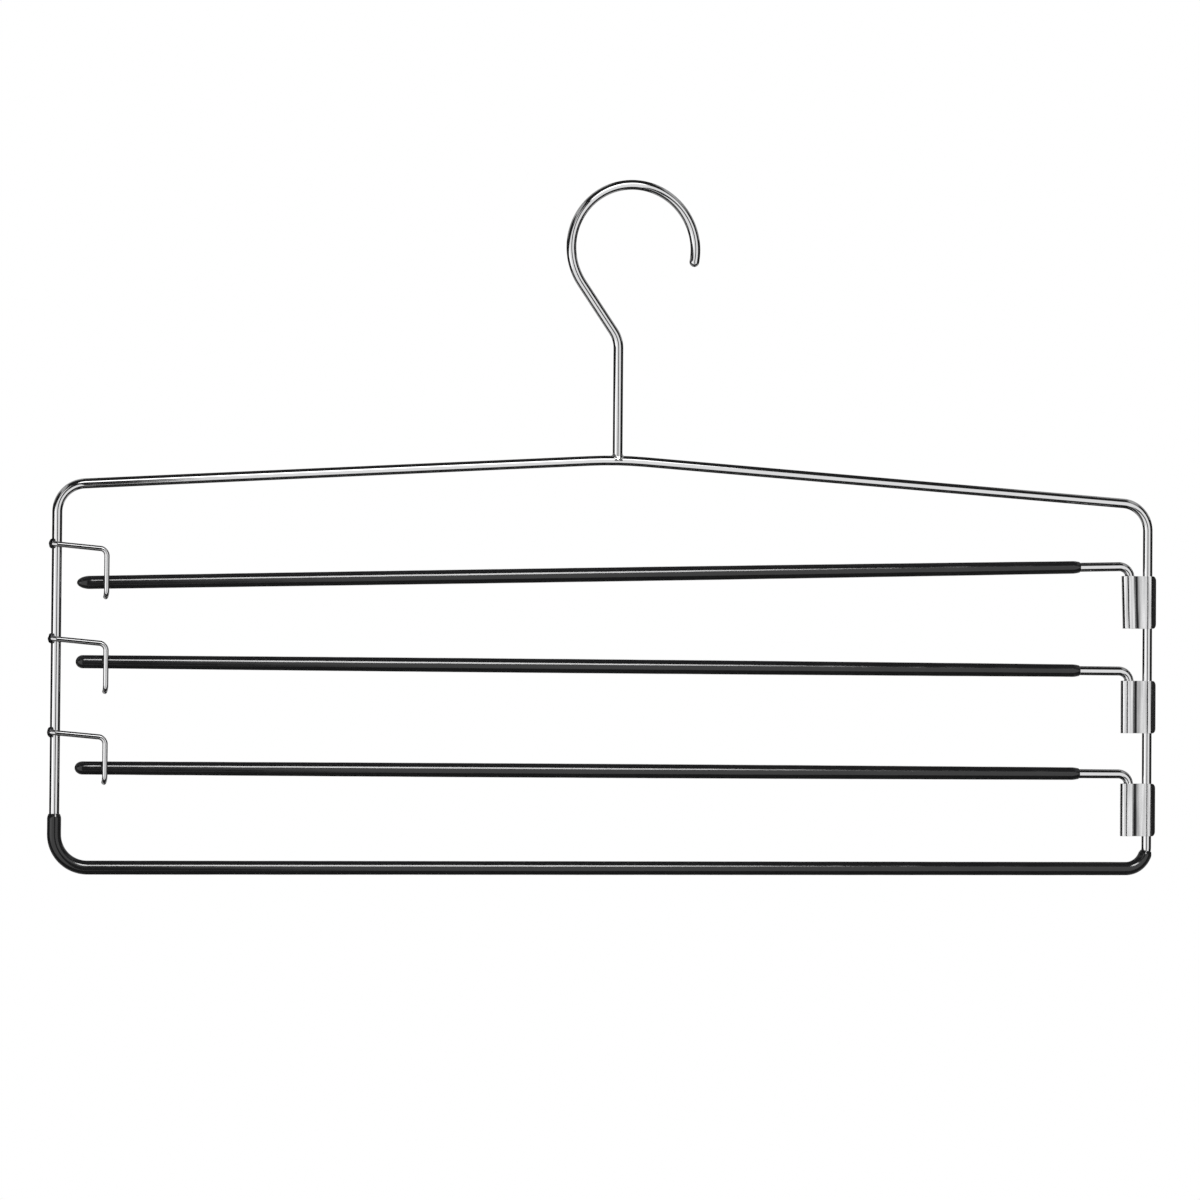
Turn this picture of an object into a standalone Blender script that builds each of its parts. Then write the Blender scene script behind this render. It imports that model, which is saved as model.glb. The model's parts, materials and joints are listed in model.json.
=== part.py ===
"""Multi-tier trouser hanger: a chromed wire frame with a hook, and coated arms that swing on one post.

Metres, +Z up. X runs along the bars, +Y to the rear. The origin is where the hook rests on a rail.
"""

import math
from dataclasses import dataclass

import bmesh
import bpy
from mathutils import Matrix, Vector

MM = 0.001

# Gauges of wire, plastic coat and sheet.
FRAME_WIRE_DIAMETER = 3.4 * MM
ARM_WIRE_DIAMETER = 3.2 * MM
LATCH_WIRE_DIAMETER = 1.8 * MM
ARM_COAT_WALL = 0.4 * MM
BAR_COAT_WALL = 0.45 * MM
CLIP_SHEET = 0.55 * MM

# Clearances between neighbouring pieces.
COAT_CLEARANCE = 0.2 * MM  # a wire to the coat round it
CLIP_CLEARANCE = 0.3 * MM  # a clip to the post that it turns on, and to the leg that it holds
WELD_GAP = 0.3 * MM  # a welded wire to the wire that carries it
LATCH_CLEARANCE = 0.3 * MM  # an arm at rest to the latch in front of it
CLIP_SLIT = 0.25 * MM  # between the two leaves of a clip

# Hook, from its tip over the rail to the foot of its stem.
HOOK_INNER_RADIUS = 20 * MM
HOOK_TIP_ANGLE = math.radians(-15)  # round the hook's centre, from +X
HOOK_LEAN = math.radians(34.7)  # the slanted run against the vertical
STEM_OFFSET = 5.05 * MM  # the stem's axis, left of the hook's centre
STEM_BEND_RADIUS = 10 * MM
STEM_LENGTH = 41.25 * MM  # from the corner of the stem's bend down to the apex
STEM_FLARE = 0.25 * MM  # how far the weld spreads the stem's foot
STEM_FLARE_LENGTH = 2.6 * MM

# Frame loop.
FRAME_WIDTH = 380 * MM  # between the axes of the two posts
SHOULDER_RISE = 12.1 * MM  # where the shoulders' lines meet, over the shoulder corners
SHOULDER_HEADROOM = 21.3 * MM  # the shoulder corners over the upper arm
APEX_BEND_RADIUS = 150 * MM
TOP_CORNER_RADIUS = 9.5 * MM
LEFT_FOOT_RADIUS = 11 * MM
RIGHT_FOOT_RADIUS = 7.5 * MM

# Coat of the bottom bar. It runs up the left post past the bend, and ends within the right bend.
BAR_COAT_LEFT_RUN = 6.7 * MM
BAR_COAT_RIGHT_SWEEP = math.radians(80)
BAR_COAT_TAPER = 1.2 * MM  # length of the tapered left end
BAR_COAT_LIP = 0.12 * MM  # wall left at both ends

# Arms.
UPPER_PITCH = 36.3 * MM  # the upper arm over the middle one, at their hinges
LOWER_PITCH = 35.65 * MM  # the middle arm over the lower one
UPPER_DROOP = math.radians(1.7)
MIDDLE_DROOP = math.radians(0.1)
LOWER_DROOP = math.radians(0)
ARM_BEND_RADIUS = 3.8 * MM
ARM_BARE_LENGTH = 14.5 * MM  # bare wire between the bend and the coat
ARM_TIP_GAP = 4.85 * MM  # the coat's tip to the left post
ARM_TIP_WALL = 2.4 * MM  # solid plastic past the wire's end
ARM_COAT_TAPER = 2.1 * MM  # length of the tapered end by the bend
ARM_COAT_LIP = 0.12 * MM  # wall left at the end of that taper
ARM_COAT_SWELL = 0.22 * MM  # how much thicker the dipped coat is in its middle
ARM_DOME_LENGTH = 2.8 * MM

# Hinge clips.
CLIP_HEIGHT = 18.2 * MM
CLIP_FOOT_GAP = 3.75 * MM  # the lowest clip over the end of the right bend
CLIP_BEND_INSET = 0.45 * MM  # how deep the arm's bend reaches into the clip
CLIP_WEB = 1.6 * MM  # sheet between the two bulges, from the pinch to the post
CLIP_EDGE = 0.5 * MM  # closed edge past the bulge round the post
CLIP_FOLD_RADIUS = 0.5 * MM  # of the pinch beside the leg
CLIP_CORNER_RADIUS = 1.7 * MM
CLIP_TRIM = 0.1 * MM  # sheet cut off at the closed edge
CLIP_LEG_INSET = 0.5 * MM  # end of the arm's leg above the clip's lower edge

# Latches.
LATCH_REACH = 16.1 * MM  # the leg's axis, right of the left post's axis
LATCH_TILT = math.radians(5)  # fall of the run from the post to the leg
LATCH_DROP = 17.1 * MM  # the foot's axis under the weld, at the upper and middle arms
LOWER_LATCH_DROP = 16.2 * MM
UPPER_FOOT_PLAY = 1.8 * MM  # an arm's coat to the foot under it
MIDDLE_FOOT_PLAY = 6.7 * MM
LOWER_FOOT_PLAY = 1.6 * MM
LATCH_BEND_RADIUS = 2.4 * MM
LATCH_FOOT_RADIUS = 1.6 * MM
LATCH_FOOT = 2.6 * MM  # reach of the foot back under the arm
LATCH_WRAP = math.radians(48)  # how far the welded end goes round the post, from its front to its left
LATCH_SETDOWN = 0.25 * MM  # how much the weld flattens the wire on the post
BEAD_HEIGHT = 3.3 * MM  # weld bead at the wire's end
BEAD_WIDTH = 2.1 * MM

# Fineness of round shapes.
BEND_STEP = math.radians(11)
HOOK_STEP = math.radians(9)
WIRE_BEVEL_STEPS = 4
LATCH_BEVEL_STEPS = 3
SLEEVE_STEPS = 20
DOME_STEPS = 4
DOME_SWEEP = math.radians(80)
SWELL_STEPS = 8
FLARE_STEPS = 4
WRAP_STEPS = 4
BULGE_STEPS = 9
FOLD_STEPS = 5
BEAD_SEGMENTS = 16
BEAD_RINGS = 10
CUTTER_SEGMENTS = 48
MERGE_DISTANCE = 1e-6

# Worked-out radii.
FRAME_RADIUS = FRAME_WIRE_DIAMETER / 2
ARM_RADIUS = ARM_WIRE_DIAMETER / 2
LATCH_RADIUS = LATCH_WIRE_DIAMETER / 2
ARM_BORE_RADIUS = ARM_RADIUS + COAT_CLEARANCE
ARM_COAT_RADIUS = ARM_BORE_RADIUS + ARM_COAT_WALL
BAR_COAT_RADIUS = FRAME_RADIUS + COAT_CLEARANCE + BAR_COAT_WALL
HOOK_RADIUS = HOOK_INNER_RADIUS + FRAME_RADIUS
POST_BULGE_RADIUS = FRAME_RADIUS + CLIP_CLEARANCE + CLIP_SHEET / 2
LEG_BULGE_RADIUS = ARM_RADIUS + CLIP_CLEARANCE + CLIP_SHEET / 2

# Worked-out places. The hook's arc leaves for the slanted run at HOOK_LEAN past its left side.
HOOK_CENTRE = Vector((0, 0, -HOOK_INNER_RADIUS))
HOOK_END_ANGLE = math.pi + HOOK_LEAN
STEM_X = -STEM_OFFSET
RUN_START_X = HOOK_RADIUS * math.cos(HOOK_END_ANGLE)
RUN_START_Z = HOOK_CENTRE.z + HOOK_RADIUS * math.sin(HOOK_END_ANGLE)
STEM_CORNER_Z = RUN_START_Z - (STEM_X - RUN_START_X) / math.tan(HOOK_LEAN)
APEX_Z = STEM_CORNER_Z - STEM_LENGTH
SHOULDER_SLOPE = math.atan2(SHOULDER_RISE, FRAME_WIDTH / 2)
APEX_CORNER_Z = APEX_Z + APEX_BEND_RADIUS * (1 / math.cos(SHOULDER_SLOPE) - 1)
SHOULDER_Z = APEX_CORNER_Z - SHOULDER_RISE
UPPER_ARM_Z = SHOULDER_Z - SHOULDER_HEADROOM
MIDDLE_ARM_Z = UPPER_ARM_Z - UPPER_PITCH
LOWER_ARM_Z = MIDDLE_ARM_Z - LOWER_PITCH
CLIP_TOP = CLIP_BEND_INSET - ARM_BEND_RADIUS
CLIP_BOTTOM = CLIP_TOP - CLIP_HEIGHT
BAR_Z = LOWER_ARM_Z + CLIP_BOTTOM - CLIP_FOOT_GAP - RIGHT_FOOT_RADIUS
LEFT_X = STEM_X - FRAME_WIDTH / 2
RIGHT_X = STEM_X + FRAME_WIDTH / 2
LEG_OFFSET = POST_BULGE_RADIUS + LEG_BULGE_RADIUS + CLIP_SHEET + CLIP_WEB
ARM_LENGTH = FRAME_WIDTH - LEG_OFFSET - FRAME_RADIUS - ARM_TIP_GAP


@dataclass(frozen=True)
class Tier:
    """One arm with its latch: how far the arm droops, its play over the latch's foot and the latch's drop."""

    name: str
    height: float
    droop: float
    foot_play: float
    latch_drop: float


TIERS = (
    Tier("upper", UPPER_ARM_Z, UPPER_DROOP, UPPER_FOOT_PLAY, LATCH_DROP),
    Tier("middle", MIDDLE_ARM_Z, MIDDLE_DROOP, MIDDLE_FOOT_PLAY, LATCH_DROP),
    Tier("lower", LOWER_ARM_Z, LOWER_DROOP, LOWER_FOOT_PLAY, LOWER_LATCH_DROP),
)


@dataclass(frozen=True)
class Finish:
    """Look of one kind of piece."""

    colour: tuple
    roughness: float
    metallic: float


CHROME = Finish((0.75, 0.75, 0.76), 0.08, 1.0)
ZINC_SHEET = Finish((0.66, 0.66, 0.67), 0.2, 1.0)
BLACK_PLASTIC = Finish((0.008, 0.008, 0.009), 0.32, 0.0)


def clear_scene():
    """Empties the scene, so that only this model is in it."""
    for obj in list(bpy.data.objects):
        bpy.data.objects.remove(obj, do_unlink=True)


def new_collection(name):
    """A collection of its own under the scene."""
    collection = bpy.data.collections.new(name)
    bpy.context.scene.collection.children.link(collection)
    return collection


def add(name, data, parent=None, location=(0, 0, 0), rotation=(0, 0, 0)):
    """An object in the hanger's collection, placed under its parent."""
    obj = bpy.data.objects.new(name, data)
    PARTS.objects.link(obj)
    obj.parent = parent
    obj.location = location
    obj.rotation_euler = rotation
    bpy.context.view_layer.update()
    return obj


def as_helper(obj):
    """Turns an object into a cutter or a body to join, which isn't a piece by itself."""
    PARTS.objects.unlink(obj)
    HELPERS.objects.link(obj)
    obj.hide_render = True
    obj.display_type = "WIRE"
    return obj


def apply_finish(obj, finish):
    """Gives an object a material of its own."""
    material = bpy.data.materials.new(f"{obj.name}_finish")
    material.use_nodes = True
    shader = material.node_tree.nodes["Principled BSDF"]
    shader.inputs["Base Color"].default_value = (*finish.colour, 1)
    shader.inputs["Roughness"].default_value = finish.roughness
    shader.inputs["Metallic"].default_value = finish.metallic
    obj.data.materials.append(material)
    return obj


def bent_path(corners, radii):
    """Points along straight runs between corners, with an arc at each corner that has a radius."""
    points = []
    for index, (corner, radius) in enumerate(zip(corners, radii)):
        if not radius:
            points.append(corner)
            continue
        back = (corners[index - 1] - corner).normalized()
        onward = (corners[(index + 1) % len(corners)] - corner).normalized()
        half = back.angle(onward) / 2
        centre = corner + (back + onward).normalized() * (radius / math.sin(half))
        first = corner + back * (radius / math.tan(half)) - centre
        turn = math.pi - 2 * half
        axis = back.cross(onward).normalized()
        steps = max(2, round(turn / BEND_STEP))
        for step in range(steps + 1):
            points.append(centre + Matrix.Rotation(-turn * step / steps, 3, axis) @ first)
    return points


def domed_end(points, radius):
    """The path and its width factors, with the last point drawn in to a round tip of the wire's radius."""
    tip = points[-1]
    back = (points[-2] - tip).normalized()
    path = list(points[:-1])
    widths = [1.0] * len(path)
    for step in range(DOME_STEPS + 1):
        angle = DOME_SWEEP * step / DOME_STEPS
        path.append(tip + back * radius * (1 - math.sin(angle)))
        widths.append(math.cos(angle))
    return path, widths


def wire(name, points, radius, bevel, widths=None, parent=None, closed=False):
    """A round wire along points, as a bevelled curve."""
    curve = bpy.data.curves.new(name, "CURVE")
    curve.dimensions = "3D"
    curve.bevel_depth = radius
    curve.bevel_resolution = bevel
    curve.use_fill_caps = True
    spline = curve.splines.new("POLY")
    spline.points.add(len(points) - 1)
    spline.use_cyclic_u = closed
    for index, (place, point) in enumerate(zip(points, spline.points)):
        point.co = (*place, 1)
        point.radius = widths[index] if widths else 1.0
    return add(name, curve, parent)


def as_mesh(curve):
    """Replaces a curve object by the closed mesh that it makes, so that it can be cut and joined."""
    graph = bpy.context.evaluated_depsgraph_get()
    mesh = bpy.data.meshes.new_from_object(curve.evaluated_get(graph))
    weld(mesh)
    name, parent, place = curve.name, curve.parent, curve.matrix_world.copy()
    bpy.data.objects.remove(curve, do_unlink=True)
    obj = add(name, mesh, parent)
    obj.matrix_world = place
    return obj


def weld(mesh):
    """Joins a curve's loose caps to its sides."""
    shape = bmesh.new()
    shape.from_mesh(mesh)
    bmesh.ops.remove_doubles(shape, verts=shape.verts, dist=MERGE_DISTANCE)
    shape.to_mesh(mesh)
    shape.free()
    mesh.shade_smooth()


def combine(obj, operation, other):
    """Adds a Boolean with another object."""
    modifier = obj.modifiers.new(operation.lower(), "BOOLEAN")
    modifier.operation = operation
    modifier.solver = "EXACT"
    modifier.object = other


def rod_cutter(name, radius, length, location, rotation=(0, 0, 0)):
    """A cylinder that clears the space of a wire."""
    mesh = bpy.data.meshes.new(name)
    shape = bmesh.new()
    bmesh.ops.create_cone(
        shape, cap_ends=True, segments=CUTTER_SEGMENTS, radius1=radius, radius2=radius, depth=length
    )
    shape.to_mesh(mesh)
    shape.free()
    return as_helper(add(name, mesh, None, location, rotation))


def build_frame(root):
    """The closed loop of wire: shoulders, posts and bottom bar."""
    corners = (
        Vector((STEM_X, 0, APEX_CORNER_Z)),
        Vector((RIGHT_X, 0, SHOULDER_Z)),
        Vector((RIGHT_X, 0, BAR_Z)),
        Vector((LEFT_X, 0, BAR_Z)),
        Vector((LEFT_X, 0, SHOULDER_Z)),
    )
    radii = (APEX_BEND_RADIUS, TOP_CORNER_RADIUS, RIGHT_FOOT_RADIUS, LEFT_FOOT_RADIUS, TOP_CORNER_RADIUS)
    points = bent_path(corners, radii)
    apply_finish(wire("frame_wire", points, FRAME_RADIUS, WIRE_BEVEL_STEPS, parent=root, closed=True), CHROME)


def hook_arc():
    """Points round the hook, from the start of the slanted run over the top to the tip."""
    sweep = HOOK_END_ANGLE - HOOK_TIP_ANGLE
    steps = round(sweep / HOOK_STEP)
    points = []
    for step in range(steps + 1):
        angle = HOOK_END_ANGLE - sweep * step / steps
        points.append(HOOK_CENTRE + HOOK_RADIUS * Vector((math.cos(angle), 0, math.sin(angle))))
    return points


def build_hook(root):
    """The hook with its slanted run and stem, its foot spread by the weld and coped over the apex."""
    arc = hook_arc()
    foot = Vector((STEM_X, 0, APEX_Z + FRAME_RADIUS / 2))
    corner = Vector((STEM_X, 0, STEM_CORNER_Z))
    stem = bent_path((foot, corner, arc[0]), (0, STEM_BEND_RADIUS, 0))
    flare = []
    flare_widths = []
    for step in range(FLARE_STEPS + 1):
        up = step / FLARE_STEPS
        flare.append(foot + Vector((0, 0, STEM_FLARE_LENGTH * up)))
        flare_widths.append(1 + STEM_FLARE / FRAME_RADIUS * (1 - up) ** 2)
    path, widths = domed_end(flare + stem[1:] + arc[1:], FRAME_RADIUS)
    widths[: len(flare_widths)] = flare_widths
    hook = as_mesh(wire("hook", path, FRAME_RADIUS, WIRE_BEVEL_STEPS, widths, root))
    apex = (STEM_X, 0, APEX_Z)
    cope_length = 4 * FRAME_WIRE_DIAMETER
    cope = rod_cutter("apex_cope", FRAME_RADIUS + WELD_GAP, cope_length, apex, (0, math.pi / 2, 0))
    combine(hook, "DIFFERENCE", cope)
    apply_finish(hook, CHROME)


def bar_path(left_rise, right_sweep):
    """Points along the bottom bar, from a height on the left post into the right bend."""
    left_bend = (
        Vector((LEFT_X, 0, BAR_Z + left_rise)),
        Vector((LEFT_X, 0, BAR_Z)),
        Vector((RIGHT_X, 0, BAR_Z)),
    )
    points = bent_path(left_bend, (0, LEFT_FOOT_RADIUS, 0))[:-1]
    steps = round(right_sweep / BEND_STEP)
    for step in range(steps + 1):
        angle = right_sweep * step / steps
        across = RIGHT_X - RIGHT_FOOT_RADIUS * (1 - math.sin(angle))
        points.append(Vector((across, 0, BAR_Z + RIGHT_FOOT_RADIUS * (1 - math.cos(angle)))))
    return points


def build_bar_sleeve(root):
    """The coat of the bottom bar: a dipped skin with tapered ends, bored for the wire."""
    left_rise = LEFT_FOOT_RADIUS + BAR_COAT_LEFT_RUN
    points = bar_path(left_rise, BAR_COAT_RIGHT_SWEEP)
    points.insert(1, points[0] - Vector((0, 0, BAR_COAT_TAPER)))
    bore_radius = FRAME_RADIUS + COAT_CLEARANCE
    end_width = (bore_radius + BAR_COAT_LIP) / BAR_COAT_RADIUS
    widths = [end_width] + [1.0] * (len(points) - 2) + [end_width]
    sleeve = as_mesh(wire("bottom_bar_sleeve", points, BAR_COAT_RADIUS, WIRE_BEVEL_STEPS, widths, root))
    past_right = bar_path(left_rise + BAR_COAT_TAPER, math.pi / 2)
    past_right.append(past_right[-1] + Vector((0, 0, RIGHT_FOOT_RADIUS)))
    bore = as_mesh(wire("bar_bore", past_right, bore_radius, WIRE_BEVEL_STEPS))
    combine(sleeve, "DIFFERENCE", as_helper(bore))
    apply_finish(sleeve, BLACK_PLASTIC)


def arm_height(tier, x):
    """Height of an arm's axis at a place along the hanger."""
    return tier.height - (RIGHT_X - LEG_OFFSET - x) * math.tan(tier.droop)


def weld_bead(tier_name, place):
    """The bead that a latch's weld leaves at the wire's end."""
    mesh = bpy.data.meshes.new(f"{tier_name}_weld_bead")
    shape = bmesh.new()
    bmesh.ops.create_uvsphere(shape, u_segments=BEAD_SEGMENTS, v_segments=BEAD_RINGS, radius=0.5)
    bmesh.ops.scale(shape, vec=(BEAD_WIDTH, BEAD_WIDTH, BEAD_HEIGHT), verts=shape.verts)
    shape.to_mesh(mesh)
    shape.free()
    return as_helper(add(mesh.name, mesh, None, place))


def latch_wrap(weld_z):
    """Points of a latch's welded end, from the front left of the post to its front."""
    reach = FRAME_RADIUS + WELD_GAP + LATCH_RADIUS - LATCH_SETDOWN
    points = []
    for step in range(WRAP_STEPS + 1):
        angle = LATCH_WRAP * (1 - step / WRAP_STEPS)
        rise = reach * angle * math.tan(LATCH_TILT)
        points.append(Vector((LEFT_X - reach * math.sin(angle), -reach * math.cos(angle), weld_z + rise)))
    return points


def build_latch(root, tier, post_cope):
    """A thin wire on the front of the left post: a run, a leg in front of the arm and a foot under it."""
    leg_x = LEFT_X + LATCH_REACH
    leg_y = -(ARM_COAT_RADIUS + LATCH_CLEARANCE + LATCH_RADIUS)
    foot_z = arm_height(tier, leg_x) - ARM_COAT_RADIUS - tier.foot_play - LATCH_RADIUS
    weld_z = foot_z + tier.latch_drop
    wrap = latch_wrap(weld_z)
    corners = (
        wrap[-1],
        Vector((leg_x, leg_y, weld_z - LATCH_REACH * math.tan(LATCH_TILT))),
        Vector((leg_x, leg_y, foot_z)),
        Vector((leg_x, leg_y + LATCH_FOOT, foot_z)),
    )
    points = bent_path(corners, (0, LATCH_BEND_RADIUS, LATCH_FOOT_RADIUS, 0))
    path, widths = domed_end(wrap[:-1] + points, LATCH_RADIUS)
    latch = as_mesh(wire(f"{tier.name}_latch", path, LATCH_RADIUS, LATCH_BEVEL_STEPS, widths, root))
    combine(latch, "UNION", weld_bead(tier.name, wrap[0]))
    combine(latch, "DIFFERENCE", post_cope)
    apply_finish(latch, CHROME)


def build_arm_wire(pivot, tier):
    """The arm's wire: a leg held in the clip, a tight bend and the long run inside the coat."""
    corner = Vector((0, 0, 0))
    leg_end = Vector((0, 0, CLIP_BOTTOM + CLIP_LEG_INSET))
    run_end = Vector((ARM_TIP_WALL + COAT_CLEARANCE - ARM_LENGTH, 0, 0))
    points = bent_path((leg_end, corner, run_end), (0, ARM_BEND_RADIUS, 0))
    arm = wire(f"{tier.name}_arm_wire", points, ARM_RADIUS, WIRE_BEVEL_STEPS, parent=pivot)
    arm.location = (-LEG_OFFSET, 0, 0)
    arm.rotation_euler = (0, -tier.droop, 0)
    apply_finish(arm, CHROME)


def sleeve_profile(length):
    """Half section of an arm's coat, from the domed tip down its outside and back up its blind bore."""
    section = []
    for step in range(DOME_STEPS + 2):
        angle = math.pi / 2 * step / (DOME_STEPS + 1)
        height = length - ARM_DOME_LENGTH * (1 - math.cos(angle))
        section.append((ARM_COAT_RADIUS * math.sin(angle), height))
    body = length - ARM_DOME_LENGTH - ARM_COAT_TAPER
    for step in range(1, SWELL_STEPS + 1):
        along = step / SWELL_STEPS
        swell = ARM_COAT_SWELL * math.sin(math.pi * along)
        section.append((ARM_COAT_RADIUS + swell, ARM_COAT_TAPER + body * (1 - along)))
    section += [
        (ARM_BORE_RADIUS + ARM_COAT_LIP, 0),
        (ARM_BORE_RADIUS, 0),
        (ARM_BORE_RADIUS, length - ARM_TIP_WALL),
        (0, length - ARM_TIP_WALL),
    ]
    return section


def build_arm_sleeve(pivot, tier):
    """The arm's coat, turned round the arm's axis."""
    start = ARM_BEND_RADIUS + ARM_BARE_LENGTH
    section = sleeve_profile(ARM_LENGTH - start)
    mesh = bpy.data.meshes.new(f"{tier.name}_arm_sleeve")
    points = [(x, 0, z) for x, z in section]
    mesh.from_pydata(points, [(i, i + 1) for i in range(len(points) - 1)], [])
    place = (-LEG_OFFSET - start * math.cos(tier.droop), 0, -start * math.sin(tier.droop))
    sleeve = add(mesh.name, mesh, pivot, place, (0, -math.pi / 2 - tier.droop, 0))
    turn = sleeve.modifiers.new("turned", "SCREW")
    turn.axis = "Z"
    turn.angle = 2 * math.pi
    turn.steps = SLEEVE_STEPS
    turn.render_steps = SLEEVE_STEPS
    turn.use_merge_vertices = True
    turn.merge_threshold = MERGE_DISTANCE
    turn.use_smooth_shade = True
    apply_finish(sleeve, BLACK_PLASTIC)


def flat_arc(centre_x, centre_y, radius, start, end, steps):
    """Points of an arc in the plan view."""
    points = []
    for step in range(steps + 1):
        angle = start + (end - start) * step / steps
        points.append((centre_x + radius * math.cos(angle), centre_y + radius * math.sin(angle)))
    return points


def clip_front_leaf(edge_x, leg_offset):
    """Plan of the clip's front leaf: from its right edge round the post, to the pinch and round the leg.

    The post's bulge is joined to the edge and to the pinch's fold by straight tangents.
    """
    leaf_y = -(CLIP_SHEET + CLIP_SLIT) / 2
    fold_y = leaf_y - CLIP_FOLD_RADIUS
    leg_gap = math.sqrt((LEG_BULGE_RADIUS + CLIP_FOLD_RADIUS) ** 2 - fold_y**2)
    fold_x = leg_gap - leg_offset
    leg_angle = math.atan2(-fold_y, leg_gap)
    edge_angle = math.atan2(leaf_y, edge_x) - math.acos(POST_BULGE_RADIUS / math.hypot(edge_x, leaf_y))
    reach = (POST_BULGE_RADIUS + CLIP_FOLD_RADIUS) / math.hypot(fold_x, fold_y)
    pinch_angle = math.atan2(fold_y, fold_x) + math.acos(reach)
    post = flat_arc(0, 0, POST_BULGE_RADIUS, edge_angle, pinch_angle, BULGE_STEPS)
    fold_start = pinch_angle + math.pi
    fold = flat_arc(fold_x, fold_y, CLIP_FOLD_RADIUS, fold_start, math.pi - leg_angle, FOLD_STEPS)
    leg = flat_arc(-leg_offset, 0, LEG_BULGE_RADIUS, -leg_angle, -math.pi, BULGE_STEPS)
    return [edge_point(post[0], edge_x + CLIP_TRIM, edge_angle)] + post + fold + leg[1:]


def edge_point(tangent, x, angle):
    """Where the tangent at a place on the post's bulge reaches the clip's right edge."""
    return x, tangent[1] - (x - tangent[0]) / math.tan(angle)


def clip_outline(pivot, tier, edge_x):
    """A plate with the clip's front outline: square at the fold, rounded at the closed edge."""
    left = -LEG_OFFSET - 2 * LEG_BULGE_RADIUS
    corners = [
        Vector((left, CLIP_BOTTOM, 0)),
        Vector((edge_x, CLIP_BOTTOM, 0)),
        Vector((edge_x, CLIP_TOP, 0)),
        Vector((left, CLIP_TOP, 0)),
    ]
    points = bent_path(corners, (0, CLIP_CORNER_RADIUS, CLIP_CORNER_RADIUS, 0))
    curve = bpy.data.curves.new(f"{tier.name}_clip_outline", "CURVE")
    curve.dimensions = "2D"
    curve.fill_mode = "BOTH"
    curve.extrude = 2 * POST_BULGE_RADIUS
    spline = curve.splines.new("POLY")
    spline.points.add(len(points) - 1)
    spline.use_cyclic_u = True
    for place, point in zip(points, spline.points):
        point.co = (*place, 1)
    plate = add(curve.name, curve, pivot, rotation=(math.pi / 2, 0, 0))
    return as_helper(as_mesh(plate))


def build_clip(pivot, tier):
    """The hinge clip: one strip of sheet, folded round the post and round the leg that leans with the arm."""
    edge_x = POST_BULGE_RADIUS + CLIP_SHEET / 2 + CLIP_EDGE
    spare = CLIP_SHEET
    mesh = bpy.data.meshes.new(f"{tier.name}_hinge_clip")
    shape = bmesh.new()
    for height in (CLIP_BOTTOM - spare, CLIP_TOP + spare):
        leaf = clip_front_leaf(edge_x, LEG_OFFSET + height * math.tan(tier.droop))
        row = [shape.verts.new((x, y, height)) for x, y in leaf]
        for pair in zip(row, row[1:]):
            shape.edges.new(pair)
    bmesh.ops.bridge_loops(shape, edges=shape.edges)
    shape.to_mesh(mesh)
    shape.free()
    mesh.shade_smooth()
    clip = add(mesh.name, mesh, pivot)
    halves = clip.modifiers.new("rear leaf", "MIRROR")
    halves.use_axis = (False, True, False)
    halves.merge_threshold = MERGE_DISTANCE
    sheet = clip.modifiers.new("sheet", "SOLIDIFY")
    sheet.thickness = CLIP_SHEET
    sheet.offset = 0
    sheet.use_even_offset = True
    combine(clip, "INTERSECT", clip_outline(pivot, tier, edge_x))
    apply_finish(clip, ZINC_SHEET)


def main():
    """Builds the frame with its latches, and the three arms on their pivots."""
    root = add("rail_seat", None)
    build_frame(root)
    build_hook(root)
    build_bar_sleeve(root)
    post_length = APEX_Z - BAR_Z
    post_middle = (LEFT_X, 0, (APEX_Z + BAR_Z) / 2)
    post_cope = rod_cutter("post_cope", FRAME_RADIUS + WELD_GAP, post_length, post_middle)
    for tier in TIERS:
        build_latch(root, tier, post_cope)
        pivot = add(f"{tier.name}_arm_pivot", None, root, (RIGHT_X, 0, tier.height))
        build_arm_wire(pivot, tier)
        build_arm_sleeve(pivot, tier)
        build_clip(pivot, tier)


clear_scene()
PARTS = new_collection("multi_tier_trouser_hanger")
HELPERS = new_collection("cutters_and_beads")
main()
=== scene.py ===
"""Dresses the multi-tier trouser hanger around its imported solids.

Chromed wires and dipped coats are swept along their paths by one Geometry Nodes tree, the hinge clips are
folded from sheet, welds close the joints, and a small studio with a camera shows the hanger as it hangs.
"""

import json
import logging
import math
from dataclasses import dataclass, field
from enum import Enum
from typing import Any, Mapping, Optional, Sequence, Union

import bmesh
import bpy
from bmesh.types import BMFace, BMVert, BMesh
from bpy.types import Collection, ID, Material, Node, NodeSocket, NodeTree, Object
from mathutils import Matrix, Vector, noise

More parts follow.
